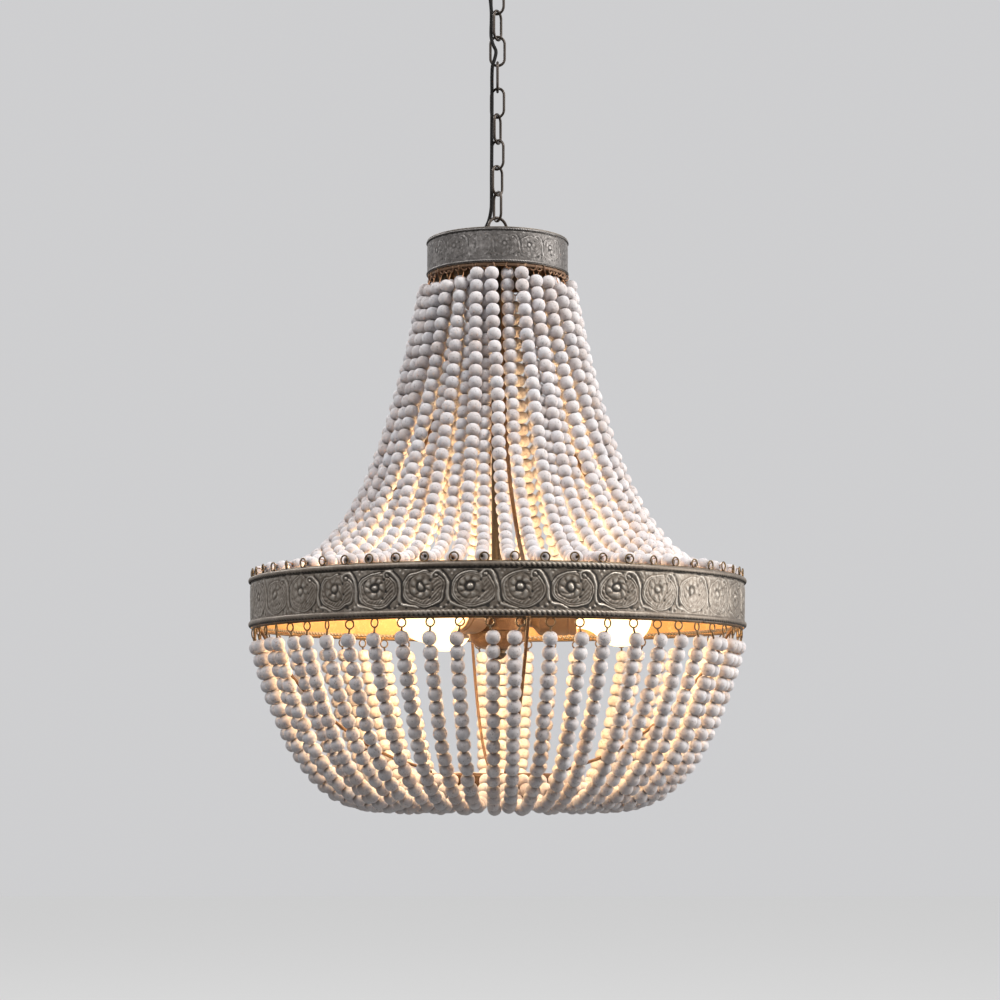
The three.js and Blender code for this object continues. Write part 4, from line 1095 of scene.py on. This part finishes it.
def beadProfile(halfLength):
    # distance along the hole and radius, from end to end
    look = beadShape
    turn = np.linspace(look["endAngle"], math.pi - look["endAngle"], look["rings"])
    power = 2 / look["roundness"]
    along = -np.sign(np.cos(turn)) * abs(np.cos(turn)) ** power
    along /= abs(along[0])
    radius = np.sin(turn) ** power * look["radius"]
    ends = [[[side * look["holeEnd"], look["hole"]]] for side in (-1, 1)]
    profile = np.concatenate([ends[0], np.stack([along, radius], axis=1), ends[1]])
    profile[:, 0] *= halfLength
    return profile


def beadsAlong(curve, length, pitch, first, last):
    # beads about a pitch apart that fill a string but for a little at its start and its end
    count = round((length - last - first) / pitch) + 1
    at = np.linspace(first, length - last, count) / length
    whole = np.linspace(0, 1, len(curve))
    return at, np.stack([np.interp(at, whole, curve[:, i]) for i in range(2)], axis=1)


def strayAlong(share, knots, degrees):
    # sideways stray of a string, eased from knot to knot
    part = np.clip(np.searchsorted(knots, share, side="right") - 1, 0, len(knots) - 2)
    low, high = np.take(knots, part), np.take(knots, part + 1)
    ease = eased(np.clip((share - low) / (high - low), 0, 1))
    return np.radians(np.take(degrees, part) * (1 - ease) + np.take(degrees, part + 1) * ease)


def stringParts(places, pitch, turn, stray):
    # all beads of one string, each a little different in size, place and tone
    look = beadShape
    outward, across = outwardAt(turn), alongRoundAt(turn)
    centres = places[:, :1] * (outward * np.cos(stray)[:, None] + across * np.sin(stray)[:, None]) + places[:, 1:] * up
    centres += rng.normal(0, look["offset"], centres.shape)
    along = np.gradient(centres, axis=0)
    along += rng.normal(0, look["tilt"], along.shape) * lengthOf(along)
    along /= lengthOf(along)
    side = across - along * (along @ across)[:, None]
    side /= lengthOf(side)
    normal = np.cross(along, side)
    halfLength = pitch / 2 * look["fill"]
    profile = beadProfile(halfLength)
    sides, rings, count = look["sides"], len(profile), len(places)
    turnOn = aroundSteps(sides)[None, None, :, None]
    size = np.clip(rng.normal(*look["size"], count), *look["sizeLimits"])[:, None, None, None]
    ring = side[:, None, None] * np.cos(turnOn) + normal[:, None, None] * np.sin(turnOn)
    offset = ring * profile[None, :, 1, None, None] * size + along[:, None, None] * profile[None, :, 0, None, None]
    points = (centres[:, None, None] + offset).reshape(-1, 3)
    faces = (gridFaces(rings, sides)[None] + np.arange(count)[:, None, None] * rings * sides).reshape(-1, 4)
    tint = np.repeat(np.clip(rng.normal(*look["tint"], count), 0, 1), rings * sides)
    # how near each point lies to its bead's end, for the painted shade where beads meet
    atEnd = np.where(profile[:, 1] <= look["hole"], 1.0, abs(profile[:, 0]) / halfLength)
    return (points, [faces]), tint, np.tile(np.repeat(atEnd, sides), count), centres


# How far single strings stray sideways as the photographed lamp's do, in degrees at their top, middle and foot,
# and how far down the wire their first bead sits, in millimetres
upperStray = {
    49: (-2.0, -1.5, 0.0, 12.0), 50: (-2.9, 1.0, 0.0, 15.0), 51: (-4.0, -3.0, 0.0, 12.0), 52: (-4.6, -5.0, -0.5, 15.6),
    53: (-5.5, -4.5, -0.5, 12.0), 54: (-6.2, -6.0, 0.2, 15.6), 55: (-6.5, -5.5, -1.0, 10.0),
    0: (-6.4, -4.4, -1.5, 15.0), 1: (-6.5, -3.5, -0.5, 9.0), 2: (-6.5, -2.9, -1.2, 5.2),
    3: (-7.3, -4.2, -1.3, 9.0), 4: (-8.0, -3.2, -1.0, 5.4), 5: (-1.2, -1.7, -0.3, 3.1),
    6: (2.4, 3.6, 2.3, 4.5), 7: (1.5, 2.3, 0.0, 10.0), 8: (1.0, 0.3, 0.0, 11.5), 9: (0.6, 0.8, 0.0, 12.0),
    10: (0.1, 1.5, 0.0, 10.7), 11: (0.6, 1.5, 0.4, 12.0), 12: (0.9, 1.9, 0.0, 15.4), 14: (2.0, 0.0, 0.0, 16.0),
}
lowerStray = {
    47: -0.6, 48: 0.6, 49: -1.1, 50: -0.85, 51: -1.0, 52: -0.75, 53: -0.2, 54: -0.4, 55: -0.9, 0: 0.6,
    1: -1.2, 2: 0.1, 3: 0.6, 4: -0.5, 5: 1.2, 6: 1.7, 7: 1.7, 8: 2.1, 9: 2.5,
}
strayLook = {
    # mean and spread at the top, middle and foot of the other upper strings, then the limits of their first bead
    "top": (0.5, 1.2), "middle": (0, 1.6), "foot": (-0.5, 0.9), "first": (6, 15), "last": (0.002, 0.007),
    "upperKnots": [0.0, 0.42, 0.88, 1.0], "endShare": 0.5,
    "lower": (0, 0.6), "lowerKnots": [0.0, 0.35, 1.0], "lowerShare": 0.8,
}
eyelets = {
    "radius": 0.2463, "size": 0.0041, "wire": 0.00078,
    "topRise": 0.0046, "bottomDrop": 0.0051, "bottomInset": 0.0012,
    "rise": 0.0003, "lean": 9, "steps": 22, "sides": 8, "hookOut": 0.8, "hookUp": 0.6,
    "collarRadius": 0.0688, "collarHeight": -0.3669, "collarSize": 0.0030, "collarWire": 0.00072, "collarLean": 28,
}
hoops = {"radius": 0.2448, "upper": -0.6708, "lower": -0.7205, "wire": 0.0013, "gapTurn": 0.1, "steps": 40, "sides": 8}
bottomRing = {"inner": 0.0695, "outer": 0.072, "bottom": -0.8917, "top": -0.8657, "corner": 0.001, "sides": 120}


def eyeletPart(turn, radius, z, size, wire, lean):
    # a small wire ring that stands square to the lamp's radius, or leans to one side
    middle = outwardAt(turn) * radius + up * z
    lean = math.radians(lean)
    across = alongRoundAt(turn) * math.cos(lean) + outwardAt(turn) * math.sin(lean)
    angle = aroundSteps(eyelets["steps"])
    path = middle + across * (size * np.cos(angle))[:, None] + up * (size * np.sin(angle))[:, None]
    return tubePart(path, wire, eyelets["sides"], np.cross(across, up), closed=True)


def bandEyelet(turn, radius, z):
    rise = rng.normal(0, eyelets["rise"])
    return eyeletPart(turn, radius, z + rise, eyelets["size"], eyelets["wire"], rng.normal(0, eyelets["lean"]))


def hoopArc(z, start):
    turns = np.linspace(start + hoops["gapTurn"], start + sectorWidth - hoops["gapTurn"], hoops["steps"])
    path = np.stack([outwardAt(turn) * hoops["radius"] + up * z for turn in turns])
    return tubePart(path, hoops["wire"], hoops["sides"], up)


def stringWire(points):
    return tubePart(smoothRoute(points, strings["wireStep"]), strings["wire"], strings["wireSides"])


def addStrings(place, sector, beads, wires, knobs, rings):
    # beads is a list of a string's mesh part, tints and ends
    node = f"{place}_strings_{sector + 1}"
    parts, tints, ends = zip(*beads)
    values = {"beadTint": np.concatenate(tints), "beadEnd": np.concatenate(ends)}
    addPiece(f"{place}_beads_{sector + 1}", joinParts(parts), "wood", node, values=values)
    addPiece(f"{place}_wires_{sector + 1}", joinParts(wires), "copperWire", node)
    if knobs:
        addPiece(f"{place}_knobs_{sector + 1}", joinParts(knobs), "rustyCopper", node)
    addPiece(f"{place}_eyelets_{sector + 1}", joinParts(rings), "eyeletWire", node)


def buildUpper(sector):
    s, stray, e = strings, strayLook, eyelets
    beads, wires, knobs, rings = [], [], [], []
    middleTurn = s["upperTurn"] + sector * sectorWidth
    ringMiddle = bandLook["top"] + e["topRise"]
    for i in range(s["perSector"]):
        number = sector * s["perSector"] + i
        turn = middleTurn + (i - s["perSector"] // 2) * stringStep
        drawn = (*[rng.normal(*stray[place]) for place in ("top", "middle", "foot")], rng.uniform(*stray["first"]))
        top, middle, foot, first = upperStray.get(number, drawn)
        side = "outer" if number % 2 == 0 else "inner"
        length = s[f"{side}Length"]
        curve = hangingCurve(s[f"{side}Top"], s["upperEnd"], length)
        at, places = beadsAlong(curve, length, s["upperPitch"], first / millimetres, rng.uniform(*stray["last"]))
        sideways = strayAlong(at, stray["upperKnots"], [top, middle, foot, foot * stray["endShare"]])
        *part, centres = stringParts(places, s["upperPitch"], turn, sideways)
        beads.append(part)
        hook = outwardAt(turn + top) * e["collarRadius"] + up * (e["collarHeight"] - e["collarSize"])
        across = alongRoundAt(turn) * e["size"] * math.copysign(e["hookOut"], foot) + up * e["size"] * e["hookUp"]
        loop = outwardAt(turn) * e["radius"] + up * ringMiddle + across
        beforeLoop = centres[-1] * (1 - s["endShare"]) + loop * s["endShare"]
        wires.append(stringWire([hook, (centres[0] + hook) / 2, *centres[:-2:4], centres[-1], beforeLoop, loop]))
        lean = rng.normal(0, e["collarLean"])
        knobPlace = turn + top, e["collarRadius"], e["collarHeight"]
        knobs.append(eyeletPart(*knobPlace, e["collarSize"], e["collarWire"], lean))
        rings.append(bandEyelet(turn, e["radius"], ringMiddle))
    rings.append(hoopArc(hoops["upper"], middleTurn - sectorWidth / 2))
    addStrings("upper", sector, beads, wires, knobs, rings)


def buildLower(sector):
    s, stray, e = strings, strayLook, eyelets
    beads, wires, rings = [], [], []
    firstString = math.ceil((s["sectorTurn"] - s["lowerTurn"]) / stringStep)
    ringRadius = e["radius"] - e["bottomInset"]
    ringMiddle = bandLook["top"] - bandLook["height"] - e["bottomDrop"]
    for i in range(s["perSector"]):
        number = firstString + sector * s["perSector"] + i
        turn = s["lowerTurn"] + number * stringStep
        outward = outwardAt(turn)
        degrees = lowerStray.get(number % s["count"], rng.normal(*stray["lower"]))
        layer = "low" if number % 2 == 0 else "high"
        length, end = s[f"{layer}Length"], s[f"{layer}End"]
        curve = hangingCurve(s["lowerStart"], end, length)
        first = s["lowerFirst"] + rng.uniform(-s["lowerFirstStray"], s["lowerFirstStray"])
        at, places = beadsAlong(curve, length, s["lowerPitch"], first, s["lowerLast"])
        sideways = strayAlong(at, stray["lowerKnots"], [degrees, degrees * stray["lowerShare"], 0.0])
        *part, centres = stringParts(places, s["lowerPitch"], turn, sideways)
        beads.append(part)
        loop = outward * ringRadius + up * (ringMiddle - e["size"])
        between = (loop + centres[0]) / 2
        last = outward * (bottomRing["outer"] + gap) + up * end[1]
        wires.append(stringWire([loop, between, *centres[:-2:4], centres[-1], last]))
        rings.append(bandEyelet(turn, ringRadius, ringMiddle))
        rings.append(tubePart([loop, between, centres[0]], s["linkWire"], s["linkSides"]))
    rings.append(hoopArc(hoops["lower"], s["sectorTurn"] + sector * sectorWidth))
    addStrings("lower", sector, beads, wires, [], rings)


for sectorNumber in range(strings["sectors"]):
    buildUpper(sectorNumber)
    buildLower(sectorNumber)
print("made the bead strings")

frameWires = {
    "count": 4, "turn": 6.8, "sides": 12, "tab": 0.008,
    "rodWire": 0.004, "rodTop": (0.046, -0.3346), "rodEnd": (0.2441, -0.6907), "rodPower": 3.4, "rodSteps": 60,
    "ribWire": 0.0032, "ribStart": (0.2445, -0.7112), "ribPower": 2.7, "ribSteps": 40, "ribBend": 0.1003,
    "ribRise": 1.5, "ringSides": 28,
    # how the rib turns down inside the bottom ring: out and up from its foot, in wire thicknesses
    "foot": [(2.2, 0.09375), (0.9, -0.2), (0.15, -0.9), (0.0, -2.0)],
}
collarRing = {"inner": 0.066, "outer": 0.070, "bottom": -0.3673, "top": -0.3643, "corner": 0.0008, "sides": 120}
collarPlate = {"inner": 0.0048, "outer": 0.0694, "bottom": -0.3343, "top": -0.3323, "corner": 0.0005, "sides": 96}


def rodPath():
    # radius and height along a rod from the collar plate to the band
    look = frameWires
    (topRadius, topHeight), (endRadius, endHeight) = look["rodTop"], look["rodEnd"]
    share = np.linspace(0, 1, look["rodSteps"])
    radius = topRadius + (endRadius - topRadius) * share ** look["rodPower"]
    height = topHeight + (endHeight - topHeight) * share
    return [*zip(radius, height), (endRadius, endHeight - look["tab"])]


def ribPath():
    # radius and height along a rib from the band to the bottom ring
    look, wire = frameWires, frameWires["ribWire"]
    foot = bottomRing["inner"] * math.cos(math.pi / look["ringSides"]) - gap - wire / 2
    footHeight = bottomRing["top"] + gap + look["ribRise"] * wire
    startRadius, startHeight = look["ribStart"]
    lowest = startHeight + (footHeight - startHeight) / (1 - (foot / startRadius) ** look["ribPower"])
    path = [(startRadius, startHeight + look["tab"])]
    for share in np.linspace(1, look["ribBend"] / startRadius, look["ribSteps"]):
        path.append((startRadius * share, lowest + (startHeight - lowest) * share ** look["ribPower"]))
    path += [(foot + out * wire, footHeight + rise * wire) for out, rise in look["foot"]]
    return path + [(foot, footHeight - look["tab"])]


def buildFrame():
    look = frameWires
    for i in range(look["count"]):
        turn = look["turn"] + i * 360 / look["count"]
        for name, node, path in (("rod", "upper_rod", rodPath()), ("rib", "lower_rib", ribPath())):
            points = [radius * outwardAt(turn) + height * up for radius, height in path]
            part = tubePart(points, look[f"{name}Wire"] / 2, look["sides"], alongRoundAt(turn))
            addPiece(f"fine_{name}_{i + 1}", part, "rustyWire", f"{node}_{i + 1}", sharpAngle=60)
    addPiece("fine_bottom_ring", hollowRing(**bottomRing), "rustyWire", "bottom_ring", sharpAngle=60)
    addPiece("fine_collar_ring", hollowRing(**collarRing), "rustyWire", "collar_ring", sharpAngle=60)
    addPiece("fine_collar_plate", hollowRing(**collarPlate), "plainIron", "collar_plate", sharpAngle=50)


buildFrame()
print("made the wire frame")

lamp = {
    "turn": 87, "count": 3, "height": -0.70622, "stemRadius": 0.006, "wall": 0.0015, "corner": 0.003, "cornerSteps": 4,
    "hubRadius": 0.030, "hubTop": -0.6752, "hubHeight": 0.047, "capHeight": 0.018, "sides": 72,
    "finialTop": -0.7408, "finialHeight": 0.010, "finialRadius": 0.009, "finialBore": 0.3, "finialSides": 48,
    # outlines as shares of the radius and of the height, then how many walls to move inward and down
    "hub": [
        (0.55, 0, 0, 0), (0.86, 0.12, 0, 0), (1, 0.34, 0, 0), (1, 1, 0, 0),
        (1, 1, 1, 0), (1, 0.34, 1, 0), (0.86, 0.12, 1, 1), (0.55, 0, 0.5, 1),
    ],
    "capOuter": [(1, 0, 1, 0), (1, 0, 0, 0), (0.93, 0.45, 0, 0), (0.7, 0.85, 0, 0), (0.4, 1, 0, 0)],
    "capInner": [(0.4, 1, 0, -1), (0.7, 0.85, 1, -1), (0.93, 0.45, 1, -0.5)],
    "finial": [
        (0, 1, 0, 0), (0.35, 0.97, 0, 0), (0.72, 0.8, 0, 0), (0.98, 0.5, 0, 0), (1, 0.34, 0, 0),
        (0.86, 0.26, 0, 0), (0.86, 0.16, 0, 0), (1, 0.1, 0, 0), (1, 0, 0, 0),
    ],
}
socketLook = {
    # radius and distance from the hub, along the socket's axis
    "outline": [
        (0.0, -0.008), (0.005, -0.008), (0.005, 0.0), (0.012, 0.0), (0.012, 0.005), (0.020, 0.0125), (0.020, 0.040),
        (0.0192, 0.041), (0.0192, 0.0425), (0.020, 0.0435), (0.020, 0.050), (0.014, 0.050), (0.014, 0.020),
        (0.0, 0.020),
    ],
    "length": 0.050, "boreDepth": 0.030, "corner": 0.0012, "sides": 64,
}
bulbLook = {
    # radius and height over the foot of the cap, then radius and height over the socket's mouth
    "capFoot": [(0.0, 0.0), (0.004, 0.0), (0.0055, 0.0012), (0.01188, 0.0036)],
    "capEnd": [(0.0132, -0.0005), (0.0126, 0.0), (0.0, 0.0)],
    "capRadius": 0.0132, "threadDepth": 0.0009, "threadStart": 0.005, "threadStep": 0.0016, "threadPoints": 15,
    "capSides": 48, "globeRadius": 0.0317, "globeReach": 0.124, "globeSides": 56,
    # the neck starts inside the cap and meets the globe at joinAngle from its far pole
    "neckFoot": (-0.0004, -0.001), "neckStart": (-0.0002, 0.0005), "neckPull": (0.0002, 0.6), "joinAngle": 143,
    "neckSteps": 8, "globeSteps": 30,
}


def shellOutline(points, radius, top, tall):
    wall = lamp["wall"]
    return [[radius * out - wall * inward, top - tall * drop - wall * down] for out, drop, inward, down in points]


def addHubPart(name, profile, node):
    part = turnedPart(softCorners(profile, lamp["corner"], lamp["cornerSteps"]), lamp["sides"])
    addPiece(name, part, "rustyWire", node, sharpAngle=50)


def buildLamp():
    look = lamp
    radius, wall, hole = look["hubRadius"], look["wall"], look["stemRadius"] + gap
    top, tall = look["hubTop"], look["hubHeight"]
    hub = shellOutline(look["hub"], radius, top, tall)
    addHubPart("fine_hub", [[hole, top], *hub, [hole, top - wall]], "hub_body")
    capTop, capTall = top - tall - gap, look["capHeight"]
    capBottom = capTop - capTall
    outer, inner = [shellOutline(look[side], radius, capTop, capTall) for side in ("capOuter", "capInner")]
    addHubPart("fine_hub_cap", [*outer, [hole, capBottom], [hole, capBottom + wall], *inner], "hub_cap")
    top, tall = look["finialTop"], look["finialHeight"]
    bore = top - tall * look["finialBore"]
    profile = shellOutline(look["finial"], look["finialRadius"], top, tall) + [[hole, top], [hole, bore], [0.0, bore]]
    finial = turnedPart(profile, look["finialSides"], close=False)
    addPiece("fine_finial", finial, "darkBronze", "hub_finial", sharpAngle=35)
    paintNode("stem", "darkBronze")
    for i in range(look["count"]):
        buildSocket(i, outwardAt(look["turn"] + i * 360 / look["count"]))


def buildSocket(i, axis):
    # a socket with its bulb, turned about the axis
    look, middle, back = bulbLook, (0.0, 0.0, lamp["height"]), lamp["hubRadius"] + gap
    mouth, bulb = back + socketLook["length"], f"bulb_{i + 1}"

    def turned(profile, sides):
        return turnedPart(profile, sides, close=False, middle=middle, axis=axis)

    outline = [[radius, back + along] for radius, along in socketLook["outline"]]
    shell = turned(softCorners(outline, socketLook["corner"], closed=False), socketLook["sides"])
    addPiece(f"fine_socket_{i + 1}", shell, "socketBrown", f"lamp_socket_{i + 1}", sharpAngle=40)

    capFoot = mouth - socketLook["boreDepth"] + gap
    heights = capFoot + look["threadStart"] + look["threadStep"] * np.arange(look["threadPoints"])
    cap = [[radius, capFoot + along] for radius, along in look["capFoot"]]
    cap += threadProfile(look["capRadius"], look["threadDepth"], heights)
    cap += [[radius, mouth + along] for radius, along in look["capEnd"]]
    addPiece(f"bulb_cap_{i + 1}", turned(cap, look["capSides"]), "capMetal", bulb, bulb, sharpAngle=50)

    def onGlobe(angle):
        direction = np.array([math.sin(angle), math.cos(angle)])
        return direction * look["globeRadius"] + [0.0, look["globeReach"]]

    rim = np.array([look["capRadius"], mouth])
    joinAngle = math.radians(look["joinAngle"])
    join = onGlobe(joinAngle)
    pull = rim + [look["neckPull"][0], (join[1] - mouth) * look["neckPull"][1]]
    shares = np.linspace(0, 1, look["neckSteps"])[:-1]
    neck = [curveBetween(rim + look["neckStart"], pull, join, share) for share in shares]
    globe = [onGlobe(angle) for angle in np.linspace(joinAngle, 0, look["globeSteps"])]
    glass = turned([rim + look["neckFoot"], *neck, *globe], look["globeSides"])
    addPiece(f"bulb_glass_{i + 1}", glass, "litGlass", bulb, bulb)


buildLamp()
print("made the lamp")

bpy.context.view_layer.update()
